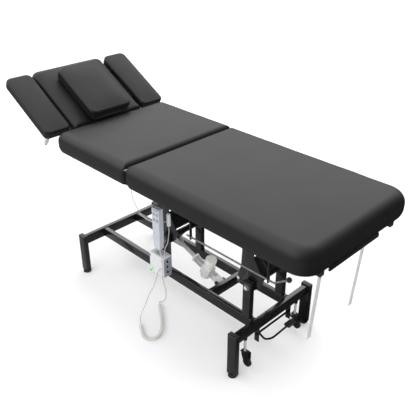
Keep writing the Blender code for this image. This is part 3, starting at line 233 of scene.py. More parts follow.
class Shape:
    """A mesh in the making. Its matrix places what is added."""

    def __init__(self, matrix=WORLD):
        self.mesh, self.matrix = bmesh.new(), matrix

    def take(self, mesh, matrix=None):
        """Adds a mesh, which is used up."""
        if matrix is not None:
            bmesh.ops.transform(mesh, matrix=matrix, verts=mesh.verts)
        data = bpy.data.meshes.new("piece")
        mesh.to_mesh(data)
        mesh.free()
        self.mesh.from_mesh(data)
        bpy.data.meshes.remove(data)
        return self

    def box(self, size, centre, radius=0.0, segments=3, turn=LOCAL):
        piece = bmesh.new()
        bmesh.ops.create_cube(piece, size=1.0, matrix=Matrix.Diagonal((*size, 1.0)))
        if radius:
            ease(piece, piece.edges[:], radius, segments)
        return self.take(piece, self.matrix @ (Matrix.Translation(centre) @ turn))

    def rod(self, radius, length, centre, axis="Z", sides=40, rim=0.0, rim_segments=2):
        piece = bmesh.new()
        bmesh.ops.create_cone(piece, cap_ends=True, segments=sides, radius1=radius, radius2=radius,
                              depth=length)
        if rim:
            ease(piece, rims(piece), rim, rim_segments)
        return self.take(piece, self.matrix @ (Matrix.Translation(centre) @ AXES[axis]))

    def lathe(self, profile, centre, sides=48):
        """A closed round shape from (radius, height) points that start and end on the axis."""
        piece, rings = bmesh.new(), []
        for radius, height in profile:
            if radius:
                rings.append([piece.verts.new((radius * cos(t), radius * sin(t), height))
                              for t in turns(sides)])
            else:
                rings.append([piece.verts.new((0.0, 0.0, height))])
        for a, b in zip(rings, rings[1:]):
            for k in range(sides):
                j = (k + 1) % sides
                kept = distinct([a[k % len(a)], a[j % len(a)], b[j % len(b)], b[k % len(b)]])
                if len(kept) > 2:
                    piece.faces.new(kept)
        return self.take(outward(piece), self.matrix @ Matrix.Translation(centre))

    def tube(self, points, radius, sides):
        """A capped round tube along points that are already in place."""
        piece = bmesh.new()
        ways = [(points[min(i + 1, len(points) - 1)] - points[max(i - 1, 0)]).normalized()
                for i in range(len(points))]
        side = ways[0].orthogonal().normalized()
        rings = []
        for point, way in zip(points, ways):
            side = (side - way * side.dot(way)).normalized()
            rings.append(circle(piece, point, side, way.cross(side), radius, sides))
        skin(piece, rings)
        piece.faces.new(reversed(rings[0]))
        piece.faces.new(rings[-1])
        return self.take(outward(piece))

    def bead(self, points, radius, sides, ripple=0.0):
        """A closed round bead along the points, such as a welt or a weld."""
        piece, count = bmesh.new(), len(points)
        ways = [(points[(i + 1) % count] - points[i - 1]).normalized() for i in range(count)]
        normal = sum((points[i].cross(points[(i + 1) % count]) for i in range(count)), Vector()).normalized()
        rings = []
        for i, (point, way) in enumerate(zip(points, ways)):
            swell = radius * (1.0 + ripple * sin(2.4 * i))
            rings.append(circle(piece, point, way.cross(normal).normalized(), normal, swell, sides))
        skin(piece, rings, closed=True)
        return self.take(outward(piece), self.matrix)

    def weld(self, centre, across, along, radius=0.0016):
        """A weld bead round a rectangular tube end. Across and along are the tube's half sides."""
        centre, across, along = Vector(centre), Vector(across), Vector(along)
        corners = [centre - across - along, centre + across - along, centre + across + along,
                   centre - across + along]
        points = []
        for a, b in zip(corners, corners[1:] + corners[:1]):
            steps = max(3, int((b - a).length / WELD_STEP))
            points += [a.lerp(b, (k + 0.5) / steps) for k in range(steps)]
        return self.bead(points, radius, 6, ripple=0.22)

    def plate(self, outline, thickness, y, radius=0.0006):
        """An outline in X and Z, thickened along Y, with eased edges."""
        piece = bmesh.new()
        loops = [[piece.verts.new((x, y + side * thickness / 2, z)) for x, z in outline] for side in BOTH]
        piece.faces.new(loops[0])
        piece.faces.new(reversed(loops[1]))
        skin(piece, loops)
        ease(outward(piece), rims(piece), radius)
        return self.take(piece, self.matrix)


def smooth_route(route, count):
    """Points at even spacing on a smooth curve through the route's points."""
    ends = [route[0] * 2 - route[1]] + list(route) + [route[-1] * 2 - route[-2]]
    fine = []
    for i in range(len(route) - 1):
        a, b, c, d = ends[i:i + 4]
        for k in range(ROUTE_STEPS):
            t = k / ROUTE_STEPS
            fine.append((b * 2 + (c - a) * t + (a * 2 - b * 5 + c * 4 - d) * t * t
                         + (b * 3 - a - c * 3 + d) * t * t * t) / 2)
    fine.append(route[-1])
    run = [0.0]
    for a, b in zip(fine, fine[1:]):
        run.append(run[-1] + (b - a).length)
    points, j = [], 0
    for i in range(count):
        want = run[-1] * i / (count - 1)
        while j < len(run) - 2 and run[j + 1] < want:
            j += 1
        points.append(fine[j].lerp(fine[j + 1], (want - run[j]) / max(1e-9, run[j + 1] - run[j])))
    return points


def linked(name, shape):
    """An object in the scene from the shape, which is used up."""
    data = bpy.data.meshes.new(name)
    shape.mesh.to_mesh(data)
    shape.mesh.free()
    made = bpy.data.objects.new(name, data)
    bpy.context.scene.collection.objects.link(made)
    return made


def plain(matrix, *things):
    """The first object with its modifiers applied, as a shape. All the objects go."""
    bpy.context.view_layer.update()
    data = bpy.data.meshes.new_from_object(things[0].evaluated_get(bpy.context.evaluated_depsgraph_get()))
    shape = Shape(matrix)
    shape.mesh.from_mesh(data)
    bpy.data.meshes.remove(data)
    for thing in things:
        bpy.data.objects.remove(thing, do_unlink=True)
    return shape


def carve(*shapes):
    """Cuts the other shapes out of the first one."""
    things = [linked("carving", shape) for shape in shapes]
    for cutter in things[1:]:
        tool = things[0].modifiers.new("cut", "BOOLEAN")
        tool.operation, tool.solver, tool.object = "DIFFERENCE", "EXACT", cutter
    return plain(shapes[0].matrix, *things)


def repeated(template, count, step):
    """Geometry Nodes: the template's shape repeated count times, step apart, made real."""
    group = bpy.data.node_groups.new("repeated", "GeometryNodeTree")
    sockets = [group.interface.new_socket(label, in_out="INPUT", socket_type=f"NodeSocket{kind}")
               for label, kind in (("Geometry", "Geometry"), ("Count", "Int"), ("Step", "Vector"))]
    group.interface.new_socket("Geometry", in_out="OUTPUT", socket_type="NodeSocketGeometry")
    start, end = node(group, "NodeGroupInput"), node(group, "NodeGroupOutput")
    line = node(group, "GeometryNodeMeshLine")
    spread = node(group, "GeometryNodeInstanceOnPoints")
    real = node(group, "GeometryNodeRealizeInstances")
    link(group, start, "Count", line, "Count")
    link(group, start, "Step", line, "Offset")
    link(group, line, "Mesh", spread, "Points")
    link(group, start, "Geometry", spread, "Instance")
    link(group, spread, "Instances", real, "Geometry")
    link(group, real, "Geometry", end, "Geometry")
    holder = linked("repeated", template)
    tool = holder.modifiers.new("repeat", "NODES")
    tool.node_group = group
    tool[sockets[1].identifier] = count
    tool[sockets[2].identifier] = list(step)
    return plain(template.matrix, holder)


def show(name, shape, look, body, *nodes, angle=35.0):
    """Makes the object, shades it, and has it ride its body in place of the CAD nodes."""
    made = linked(name, shape)
    made.data.materials.append(look)
    for face in made.data.polygons:
        face.use_smooth = True
    made.data.set_sharp_from_angle(angle=radians(angle))
    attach(made, body)
    if nodes:
        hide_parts(*nodes)
    return made


# Camera, light and floor

SKY_LIT, SKY_SHINE = 1.42, 1.76
FLOOR_WHITE = (0.93, 0.93, 0.93, 1.0)
FLOOR_SHINE_NEAR, FLOOR_SHINE_END = 0.25, 0.02
PHOTO_PIXELS, FOCAL_PIXELS, SENSOR = 416, 583.14, 36.0
scene = bpy.context.scene
turn, rise = radians(45.1238), radians(29.651)
back = Vector((sin(turn) * cos(rise), -cos(turn) * cos(rise), sin(rise)))
right = Vector((cos(turn), sin(turn), 0.0))
lens = bpy.data.cameras.new("camera")
lens.sensor_width = SENSOR
lens.lens = FOCAL_PIXELS / PHOTO_PIXELS * SENSOR
lens.clip_end = 60.0
camera = bpy.data.objects.new("camera", lens)
camera.matrix_world = (Matrix.Translation(at(1.788768, -1.639392, 1.898208))
                       @ Matrix((right, back.cross(right), back)).transposed().to_4x4())
scene.collection.objects.link(camera)
scene.camera = camera
scene.view_settings.view_transform = "Standard"
scene.view_settings.look = "None"

# The sky is white to the camera. It lights evenly, and reflections see it fade downwards and towards X.
world = bpy.data.worlds.new("studio")
scene.world = world
world.use_nodes = True
sky = world.node_tree
sky.nodes.clear()
seen, lit, shine = (node(sky, "ShaderNodeBackground", {"Color": (1.0, 1.0, 1.0, 1.0), "Strength": strength})
                    for strength in (1.0, SKY_LIT, SKY_SHINE))
ray, way = node(sky, "ShaderNodeLightPath"), node(sky, "ShaderNodeTexCoord")
parts = node(sky, "ShaderNodeSeparateXYZ")
level = node(sky, "ShaderNodeMath", operation="MULTIPLY")
link(sky, way, "Generated", parts, "Vector")
for number, (axis, span) in enumerate((("Z", (-0.05, 0.5, 0.1, SKY_SHINE)), ("X", (-0.4, 0.6, 1.0, 0.02)))):
    fade = node(sky, "ShaderNodeMapRange", dict(zip(("From Min", "From Max", "To Min", "To Max"), span)),
                interpolation_type="SMOOTHSTEP")
    link(sky, parts, axis, fade, "Value")
    link(sky, fade, "Result", level, number)
link(sky, level, "Value", shine, "Strength")
by_shine, by_camera = node(sky, "ShaderNodeMixShader"), node(sky, "ShaderNodeMixShader")
link(sky, ray, "Is Glossy Ray", by_shine, "Fac")
link(sky, lit, "Background", by_shine, 1)
link(sky, shine, "Background", by_shine, 2)
link(sky, ray, "Is Camera Ray", by_camera, "Fac")
link(sky, by_shine, "Shader", by_camera, 1)
link(sky, seen, "Background", by_camera, 2)
link(sky, by_camera, "Shader", node(sky, "ShaderNodeOutputWorld"), "Surface")

for name, place, target, size, power in (("key_light", (-1.6, 1.6, 3.4), (0.2, 0.0, 0.6), 2.6, 20.0),
                                         ("fill_light", (0.6, -3.4, 2.2), (0.1, 0.0, 0.4), 2.2, 16.0)):
    light = bpy.data.lights.new(name, "AREA")
    light.shape, light.size, light.energy = "SQUARE", size, power
    lamp = bpy.data.objects.new(name, light)
    lamp.location = place
    lamp.rotation_euler = (Vector(target) - Vector(place)).to_track_quat("-Z", "Y").to_euler()
    lamp.visible_glossy = False
    scene.collection.objects.link(lamp)

# Reflections see the floor darken away from the middle.
FLOOR, tree, shader = material("floor_white")
shader.inputs["Roughness"].default_value = 0.85
shader.inputs["Specular IOR Level"].default_value = 0.1
parts = node(tree, "ShaderNodeSeparateXYZ")
total = node(tree, "ShaderNodeMath")
fade = node(tree, "ShaderNodeMapRange", {"From Min": 0.0, "From Max": 0.9, "To Min": FLOOR_SHINE_NEAR,
                                         "To Max": FLOOR_SHINE_END}, interpolation_type="SMOOTHSTEP")
mix = node(tree, "ShaderNodeMix", {"A": FLOOR_WHITE}, data_type="RGBA")
link(tree, node(tree, "ShaderNodeTexCoord"), "Object", parts, "Vector")
link(tree, parts, "X", total, 0)
link(tree, parts, "Y", total, 1)
link(tree, total, "Value", fade, "Value")
link(tree, fade, "Result", mix, "B")
link(tree, node(tree, "ShaderNodeLightPath"), "Is Glossy Ray", mix, "Factor")
link(tree, mix, "Result", shader, "Base Color")
shape = Shape()
bmesh.ops.create_grid(shape.mesh, x_segments=1, y_segments=1, size=18.0)
floor = linked("floor", shape)
floor.data.materials.append(FLOOR)

# Cords

SPAN = 1.098
COIL_RADIUS, COIL_CORD, COIL_TURNS, COIL_HEIGHT, PER_TURN = 0.0078, 0.0023, 46, 0.0107, 28
LEAD_RADIUS, THIN_RADIUS = 0.0022, 0.0018


def route_of(shares):
    return [Vector((x * SPAN + SHIFT, y * SPAN, z * SPAN)) for x, y, z in shares]


def shown_cord(name, points, radius, body, node_name, lay="loose", sides=16):
    made = show(name, Shape().tube(points, radius, sides), CORD if lay == "coiled" else LEAD, body, node_name,
                angle=50.0)
    return made


coil_route = [Vector((x * SPAN + SHIFT, y * SPAN, COIL_HEIGHT)) for x, y in (
    (-0.0328, -0.1539), (0.031, -0.198), (0.0638, -0.222), (0.1, -0.256), (0.123, -0.286),
    (0.1285, -0.314), (0.115, -0.337), (0.088, -0.343), (0.054, -0.329), (0.0137, -0.3033))]
middle = smooth_route(coil_route, COIL_TURNS * PER_TURN + 1)
coil = []
for i, spot in enumerate(middle):
    ahead = middle[min(i + 1, len(middle) - 1)] - middle[max(i - 1, 0)]
    side = ahead.cross(Vector((0.0, 0.0, 1.0))).normalized()
    swell = min(1.0, min(i, len(middle) - 1 - i) / PER_TURN / 1.2)
    swell = swell * swell * (3.0 - 2.0 * swell)
    angle = 2.0 * pi * i / PER_TURN
    coil.append(spot + (side * sin(angle) + Vector((0.0, 0.0, cos(angle)))) * COIL_RADIUS * swell)
start_way = (middle[0] - middle[1]).normalized()
end_way = (middle[-1] - middle[-2]).normalized()
coil = [coil[0] + start_way * COIL_CORD * 2] + coil + [coil[-1] + end_way * COIL_CORD * 2]

# The leads start a hair off the coil's ends.
lead_top = route_of((
    (0.064, -0.2186, 0.3967), (0.0645, -0.2186, 0.388), (0.076, -0.2186, 0.356),
    (0.074, -0.213, 0.2915), (0.0665, -0.2095, 0.2405), (0.0665, -0.1958, 0.1648),
    (0.0455, -0.1821, 0.102), (0.006, -0.168, 0.054), (-0.027, -0.1545, 0.027)))
lead_top = smooth_route(lead_top + [coil[0] + start_way * 0.0116, coil[0] + start_way * 0.0003], 150)
lead_box = smooth_route([coil[-1] + end_way * 0.0003, coil[-1] + end_way * 0.0116] + route_of((
    (0.0, -0.2935, 0.03), (0.005, -0.288, 0.056), (0.015, -0.274, 0.098),
    (0.01, -0.2459, 0.134), (0.0125, -0.21, 0.185), (0.006, -0.185, 0.225),
    (0.0036, -0.17, 0.2341), (0.0036, -0.1663, 0.2341))), 130)
handset_lead = shown_cord("cord_handset_lead", lead_top, LEAD_RADIUS, "base", "handset_lead")
shown_cord("cord_curly", coil, COIL_CORD, "base", "curly_cord", lay="coiled", sides=12)
shown_cord("cord_box_lead", lead_box, LEAD_RADIUS, "base", "box_lead")
switch_line = smooth_route(route_of((
    (-0.1011, -0.2186, 0.6467), (-0.093, -0.2186, 0.57), (-0.044, -0.2186, 0.5133),
    (0.0095, -0.215, 0.5003), (0.0399, -0.196, 0.4985), (0.0668, -0.174, 0.5047))), 110)
shown_cord("cord_under_top", switch_line, THIN_RADIUS, "top", "switch_cord", lay="hanging")
motor_line = smooth_route(route_of((
    (0.0764, -0.173, 0.4882), (0.0754, -0.173, 0.4541), (0.0555, -0.165, 0.3932),
    (0.0206, -0.15, 0.3425), (0.005, -0.143, 0.305), (0.005, -0.142, 0.292))), 90)
motor_cord = shown_cord("cord_to_box", motor_line, THIN_RADIUS, "base", "motor_cord",
                        lay="hanging")

# Both get meshes of their own. The lower and upper heights given beside them are not used.
for cord, low, high in ((motor_cord, 0.3206, 0.5361), (handset_lead, 0.0107, 0.4356)):
    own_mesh(cord)

# Upholstery

PAD_STEP = 0.026
PAD_SIDE, PAD_ROLL, PAD_TOP, PAD_CORNER = 6, 14, 18, 10


def smooth(share):
    share = max(0.0, min(1.0, share))
    return share * share * (3.0 - 2.0 * share)


def plan_outline(x0, x1, half, corners, long_steps, short_steps):
    """A rounded rectangle as (x, y, weight) points. The weight is 1 on the x0 side and 0 elsewhere."""
    arcs = []
    for sx, sy, radius, start in ((1, -1, corners[1], -90), (1, 1, corners[1], 0),
                                  (-1, 1, corners[0], 90), (-1, -1, corners[0], 180)):
        px, py = (x1 if sx > 0 else x0) - sx * radius, sy * (half - radius)
        arc = []
        for k in range(PAD_CORNER + 1):
            share = k / PAD_CORNER
            angle = radians(start + 90.0 * k / PAD_CORNER)
            weight = 0.0 if sx > 0 else smooth(share if sy > 0 else 1.0 - share)
            arc.append((px + radius * cos(angle), py + radius * sin(angle), weight))
        arcs.append(arc)
    points = []
    for i, arc in enumerate(arcs):
        points += arc
        ahead = arcs[(i + 1) % 4][0]
        count = short_steps if i % 2 == 0 else long_steps
        for k in range(1, count):
            points.append(tuple(a + (b - a) * k / count for a, b in zip(arc[-1], ahead)))
    return points


def pad(name, x0, x1, half, z0, z_edge, crown, round_x0, round_side, corners, matrix, body, node_name, y=0.0,
        draw=0.009, ripple=0.0009, seed=0.0, welt=None):
    """A firm upholstered pad: sides drawn in to the board below, edges rolled over, and a soft crown."""
    pad_shape = Shape(LOCAL)
    mesh = pad_shape.mesh
    tall = z_edge - z0
    # Levels from the bottom up, as (inset, fixed height, share inwards, share upwards): the drawn-in
    # side, the rolled edge, and the top, where the inset is None.
    levels = [(draw * (1.0 - k / PAD_SIDE) ** 2.2, z0 + tall * 0.35 * k / PAD_SIDE, 0.0, 0.0)
              for k in range(PAD_SIDE + 1)]
    rolls = [radians(90.0 * k / PAD_ROLL) for k in range(PAD_ROLL + 1)]
    levels += [(0.0, None, 1.0 - cos(roll), sin(roll)) for roll in rolls]
    levels += [(None, None, (k / PAD_TOP) ** 1.25, 0.0) for k in range(1, PAD_TOP + 1)]
    deepest = half - round_side - 0.012
    flat_x = ((x0 + round_x0 + x1 - round_side) / 2, (x1 - round_side - x0 - round_x0) / 2)
    flat_y = half - round_side
    long_steps, short_steps = max(6, int((x1 - x0) / PAD_STEP)), max(6, int(2 * half / PAD_STEP))

    def outline(head, side, shrink, counts=(long_steps, short_steps)):
        radii = [max(r - shrink, r * 0.2) for r in corners]
        return plan_outline(x0 + head, x1 - side, half - side, radii, *counts)

    loops = []
    for inset, z_fixed, inward, upward in levels:
        if inset is None:
            side, head = round_side + inward * deepest, round_x0 + inward * deepest
        else:
            side, head = inset + inward * round_side, inset + inward * round_x0
        loop = []
        for px, py, weight in outline(head, side, side * 0.8):
            if inset is None:
                u, v = (px - flat_x[0]) / flat_x[1], py / flat_y
                height = z_edge + crown * max(0.0, 1.0 - abs(u) ** 3) * max(0.0, 1.0 - abs(v) ** 3)
            elif z_fixed is not None:
                height = z_fixed
            else:
                reach = round_side + (round_x0 - round_side) * weight
                height = z_edge - reach + upward * reach
            spot = Vector((px, py + y, height))
            soft = noise.noise(spot * 9.0 + Vector((seed, 0.0, 0.0))) * ripple
            soft += noise.noise(spot * 31.0 + Vector((0.0, seed, 0.0))) * ripple * 0.25
            if inset is None:
                spot.z += soft
            elif z_fixed is None or z_fixed > z0 + tall * 0.1:
                spot.z += soft * upward
                spot.y += soft * (1 if py > 0 else -1) * 0.6
            loop.append(mesh.verts.new(spot))
        loops.append(loop)
    skin(mesh, loops)
    # The top's last loop is closed with quads across it.
    last, count = loops[-1], len(loops[-1])
    turned = 2 * PAD_CORNER + short_steps
    for k in range(count // 2 + 1):
        i = turned // 2 + k
        kept = distinct([last[n % count] for n in (i, i + 1, turned - i - 1, turned - i)])
        if len(kept) > 2 and mesh.faces.get(kept) is None:
            mesh.faces.new(kept)
    inner = draw + 0.01
    base = [mesh.verts.new((px, py + y, z0 + 0.0006)) for px, py, _ in outline(inner, inner, inner)]
    skin(mesh, [base, loops[0]])
    mesh.faces.new(reversed(base))
    outward(mesh)
    if welt:
        edge, drop, radius = welt
        line = [Vector((px, py + y, z_edge - round_side * drop))
                for px, py, _ in outline(edge, edge, edge, (40, 24))]
        pad_shape.bead(line, radius, 8)
    bmesh.ops.transform(mesh, matrix=matrix, verts=mesh.verts)
    made = show(name, pad_shape, VINYL, body, node_name, angle=60.0)


PAD_EDGE = 0.845
pad("leg_pad", -0.02, 0.94, 0.338, 0.745, PAD_EDGE, 0.01, 0.03, 0.05, (0.02, 0.085), WORLD, "top",
    "leg_cushion", seed=3.0)
pad("mid_pad", 0.0035, 0.5285, 0.338, 0.7485 - SEAM_Z, PAD_EDGE - SEAM_Z, 0.01, 0.03, 0.046, (0.02, 0.038),
    MID @ FLIP, "mid_section", "mid_cushion", seed=11.0)
pad("head_pad", 0.036, 0.456, 0.213, 0.01, 0.09, 0.009, 0.024, 0.032, (0.016, 0.036), HEAD @ FLIP,
    "head_section", "head_cushion", seed=17.0)
for way, side in NEAR_FAR:
    pad(f"armrest_pad_{way}", 0.046, 0.44, 0.07, 0.047, 0.092, 0.004, 0.01, 0.01, (0.026, 0.03),
        HEAD @ FLIP, f"armrest_{way}_body", f"armrest_{way}", y=-side * 0.296, draw=0.004, ripple=0.0004,
        seed=23.0 + side, welt=(0.0008, 0.9, 0.0014))
pad("pillow_pad", 0.034, 0.376, 0.121, 0.0993, 0.1553, 0.008, 0.012, 0.012, (0.03, 0.032), HEAD @ FLIP,
    "pillow_body", "pillow", draw=0.008, seed=31.0, welt=(0.001, 1.0, 0.0014))

# Base frame of welded tube
GLIDE = ((0.0, 0.0), (0.0196, 0.0), (0.021, 0.0012), (0.0208, 0.0034), (0.019, 0.0046), (0.0192, 0.0062),
         (0.0186, 0.0086), (0.0168, 0.0098), (0.0, 0.01))
for label, x, plates in (("head", -FRAME_X, ()), ("foot", FRAME_X, (-0.1, 0.12))):
    shape = Shape().box((TUBE, 0.507, TALL), (x, 0.0, RAIL_Z), TUBE_EDGE)
    for k in BOTH:
        shape.box((TALL, TUBE, 0.2177), (x, k * LEG_Y, 0.11915), TUBE_EDGE)
        shape.weld((x, k * 0.2408, RAIL_Z), HALF_X, HALF_TALL)
    for y in plates:
        shape.box((TUBE, 0.005, 0.077), (x, y, 0.1385), 0.0012)
        shape.weld((x, y, 0.1752), HALF_X, (0, 0.0025, 0), 0.0012)
    show(f"end_frame_{label}_tube", shape, PAINT, "base", f"end_frame_{label}")
    shape = Shape()
    for k in BOTH:
        shape.box((0.0494, 0.0244, 0.003), (x, k * LEG_Y, 0.2284), 0.0012)
    show(f"leg_caps_{label}", shape, CAP, "base")
    for way, k in NEAR_FAR:
        show(f"glide_foot_{label}_{way}", Shape().lathe(GLIDE, (x, k * LEG_Y, 0.0)), RUBBER, "base",
             f"glide_{label}_{way}", angle=50.0)
for way, side in NEAR_FAR:
    shape = Shape().box((1.0724, TUBE, TALL), (0.0, side * RAIL_Y, RAIL_Z), TUBE_EDGE)
    for k in BOTH:
        shape.weld((k * 0.5358, side * RAIL_Y, RAIL_Z), HALF_Y, HALF_TALL)
    show(f"rail_{way}_tube", shape, PAINT, "base", f"rail_{way}")
for label, x in (("head", HEAD_POST_X), ("foot", FOOT_POST_X)):
    for way, side in NEAR_FAR:
        y = side * RAIL_Y
        shape = Shape().box((0.045, TUBE, 0.1797), (x, y, 0.31515), TUBE_EDGE)
        shape.weld((x, y, 0.2258), (0.0225, 0, 0), HALF_Y)
        show(f"post_{label}_{way}_tube", shape, PAINT, "base", f"post_{label}_{way}")
        show(f"post_cap_{label}_{way}", Shape().box((0.0444, 0.0244, 0.0024), (x, y, 0.405), 0.001), CAP,
             "base")
    shape, tips = Shape().rod(0.008, 0.2536, (x, 0.0, LOWER_Z), "Y", rim=0.0006), Shape()
    for k in BOTH:
        shape.rod(0.015, 0.0014, (x, k * 0.1265, LOWER_Z), "Y", rim=0.0003)
        shape.rod(0.013, 0.0056, (x, k * 0.13, LOWER_Z), "Y", sides=6, rim=0.0008)
        tips.rod(0.0082, 0.003, (x, k * 0.1338, LOWER_Z), "Y", rim=0.0012)
    show(f"lower_rod_{label}_bolt", shape, ROD, "base", f"lower_rod_{label}")
    show(f"lower_rod_{label}_tips", tips, CHROME, "base")
MOTOR_X = 0.225
shape = Shape().box((TUBE, 0.2004, TALL), (0.26, 0.0, RAIL_Z), TUBE_EDGE)
for k in BOTH:
    shape.plate(((0.249, 0.186), (0.249, 0.214), (MOTOR_X, 0.214), (0.2168, 0.2114), (0.2112, 0.2056),
                 (0.211, 0.1944), (0.2168, 0.1886), (MOTOR_X, 0.186)), 0.005, k * 0.023)
    shape.weld((0.2478, k * 0.023, RAIL_Z), (0, 0.0025, 0), (0, 0, 0.014), 0.0012)
    shape.weld((0.26, k * 0.0995, RAIL_Z), HALF_X, HALF_TALL)
    shape.rod(0.008, 0.0024, (MOTOR_X, k * 0.0266, RAIL_Z), "Y", sides=6, rim=0.0004)
shape.rod(0.005, 0.055, (MOTOR_X, 0.0, RAIL_Z), "Y")
show("actuator_bar_tube", shape, PAINT, "base", "actuator_bar")

# Rocker arms of the lift
ROCKER = [(a * ARM_LENGTH, b * ARM_LENGTH) for a, b in (
    (-0.301, -0.038), (-0.25, 0.107), (-0.161, 0.28), (-0.106, 0.53), (-0.06, 0.96), (-0.04, 1.045),
    (0.0, 1.065), (0.04, 1.045), (0.062, 0.96), (0.117, 0.483), (0.223, 0.195), (0.264, 0.149),
    (0.18, 0.0), (0.06, -0.078), (0.0, -0.086), (-0.1, -0.078))]
ARM_TUBES = ((0.0, 0.0146), (ARM_LENGTH, 0.0136))
LEVER_TURN, LEVER_LENGTH = radians(129.2), 0.09
low_end, high_end = Vector((0.0626, 0.0, 0.058)), Vector((0.0325, 0.0, 0.1415))
along = high_end - low_end
for label, x in (("foot", FOOT_POST_X), ("head", HEAD_POST_X)):
    place = about_y(at(x, 0.0, LOWER_Z), -LEAN)
    shape = Shape(place)
    for k in BOTH:
        shape.plate(ROCKER, 0.005, k * 0.095, 0.0009)
        for reach, radius in ARM_TUBES:
            shape.bead([Vector((radius * cos(t / 40 * 2 * pi), k * 0.0921,
                                reach + radius * sin(t / 40 * 2 * pi))) for t in range(40)],
                       0.0014, 6, ripple=0.2)
    shape.box((0.004, 0.189, along.length), (low_end + high_end) / 2, 0.0012,
              turn=Matrix.Rotation(atan2(along.x, along.z), 4, "Y"))
    for reach, radius in ARM_TUBES:
        shape.rod(radius, 0.189, (0.0, 0.0, reach), "Y", rim=0.0006)
    shape.rod(0.008, 0.189, (-0.247 * ARM_LENGTH, 0.0, 0.047 * ARM_LENGTH), "Y")
    if label == "head":
        tip = Vector((-sin(LEVER_TURN), 0.0, cos(LEVER_TURN))) * LEVER_LENGTH
        shape.box((0.03, 0.012, LEVER_LENGTH), tip / 2, 0.0014, turn=Matrix.Rotation(-LEVER_TURN, 4, "Y"))
        shape.rod(0.015, 0.012, tip, "Y", rim=0.001)
    show(f"rocker_{label}_arm", shape, PAINT, f"rocker_{label}_body", f"rocker_{label}")
    shape = Shape(place)
    for k in BOTH:
        shape.rod(0.008, 0.002, (-0.0716, k * 0.0985, 0.0136), "Y", rim=0.0006)
    show(f"rocker_{label}_spacer_bolts", shape, CHROME, f"rocker_{label}_body")

# Linear actuator, built along its own X from the lower pin, and its stroke from the upper pin
tip_turn = LEAN + LEVER_TURN
tip_x = HEAD_POST_X - LEVER_LENGTH * sin(tip_turn)
tip_z = LOWER_Z + LEVER_LENGTH * cos(tip_turn)
RISE = atan2(tip_z - RAIL_Z, MOTOR_X - tip_x)
ACTUATOR = about_y(at(MOTOR_X, 0.0, RAIL_Z), RISE)
STROKE = about_y(at(tip_x, 0.0, tip_z), RISE)
MOTOR_SHIFT = -0.09


def bored(shape):
    """The shape with the piston's bore cut out."""
    return carve(shape, Shape(ACTUATOR).rod(0.0114, 0.176, (-0.111, 0.0, 0.0), "X", sides=48))


shape = bored(Shape(ACTUATOR).rod(0.0188, 0.1516, (-0.1058, 0.0, 0.0), "X", sides=64, rim=0.0008))
for angle in range(0, 360, 45):
    turned = Matrix.Rotation(radians(angle), 4, "X")
    shape.box((0.15, 0.0022, 0.0016), turned @ Vector((-0.1058, 0.0, 0.0186)), 0.0005, 2, turn=turned)
show("actuator_tube", shape, ALUMINIUM, "actuator", "actuator_body")
shape = bored(Shape(ACTUATOR).box((0.056, 0.05, 0.052), (MOTOR_SHIFT, 0.0, -0.002), 0.0062, 4))
CAN = ((0.0, -0.046), (0.0245, -0.046), (0.0268, -0.044), (0.0275, -0.041), (0.0275, 0.065), (0.0266, 0.066),
       (0.0266, 0.0674), (0.0275, 0.0684), (0.0272, 0.075), (0.0256, 0.0776), (0.0224, 0.078),
       (0.0216, 0.0768), (0.0208, 0.0764), (0.0, 0.0764))
for piece in (Shape(ACTUATOR).box((0.05, 0.037, 0.028), (-0.017, 0.0, 0.0), 0.0036),
              Shape(ACTUATOR).lathe(CAN, (MOTOR_SHIFT, 0.0, 0.0), 64),
              Shape(ACTUATOR).rod(0.0218, 0.01, (-0.178, 0.0, 0.0), "X", rim=0.0012)):
    shape.take(bored(piece).mesh)
show("actuator_housing", shape, GREY, "actuator")
shape = Shape(ACTUATOR)
for x in (-0.112, -0.068):
    for z in (-0.022, 0.018):
        for y in (-0.0252, 0.0252):
            shape.rod(0.0026, 0.0014, (x, y, z), "Y", sides=20, rim=0.0004)
show("actuator_screws", shape, STEEL, "actuator")
shape = Shape(STROKE).rod(0.01, 0.1668, (0.1254, 0.0, 0.0), "X", rim=0.0006)
show("actuator_piston", shape, STRAP, "plunger", "actuator_rod")
shape = Shape(STROKE).box((0.02, 0.025, 0.03), (0.037, 0.0, 0.0), 0.003)
for k in BOTH:
    shape.box((0.046, 0.0047, 0.03), (0.008, k * 0.01015, 0.0), 0.0016)
shape.rod(0.007, 0.0298, (0.0, 0.0, 0.0), "Y", rim=0.0008)
shape.rod(0.012, 0.006, (0.049, 0.0, 0.0), "X", sides=6, rim=0.0006)
show("actuator_fork", shape, ALUMINIUM, "plunger")

# Control box
BOX_X, BOX_Y, BOX_Z = -0.029, -0.154, 0.2625
BOX_SCREWS = [(x, z) for z in (0.302, 0.213) for x in (-0.072, 0.013)]
PANEL_X, SOCKET_Z, SOCKET_STEP, VENT_STEP = 0.022, 0.2326, 0.0299, 0.0096
BUTTON_X, BUTTON_Z = -0.0596, 0.22685


def socket_wells():
    well = Shape().box((0.006, 0.02, 0.0195), (PANEL_X, BOX_Y, SOCKET_Z), 0.0015, 2)
    return repeated(well, 3, (0.0, 0.0, SOCKET_STEP))


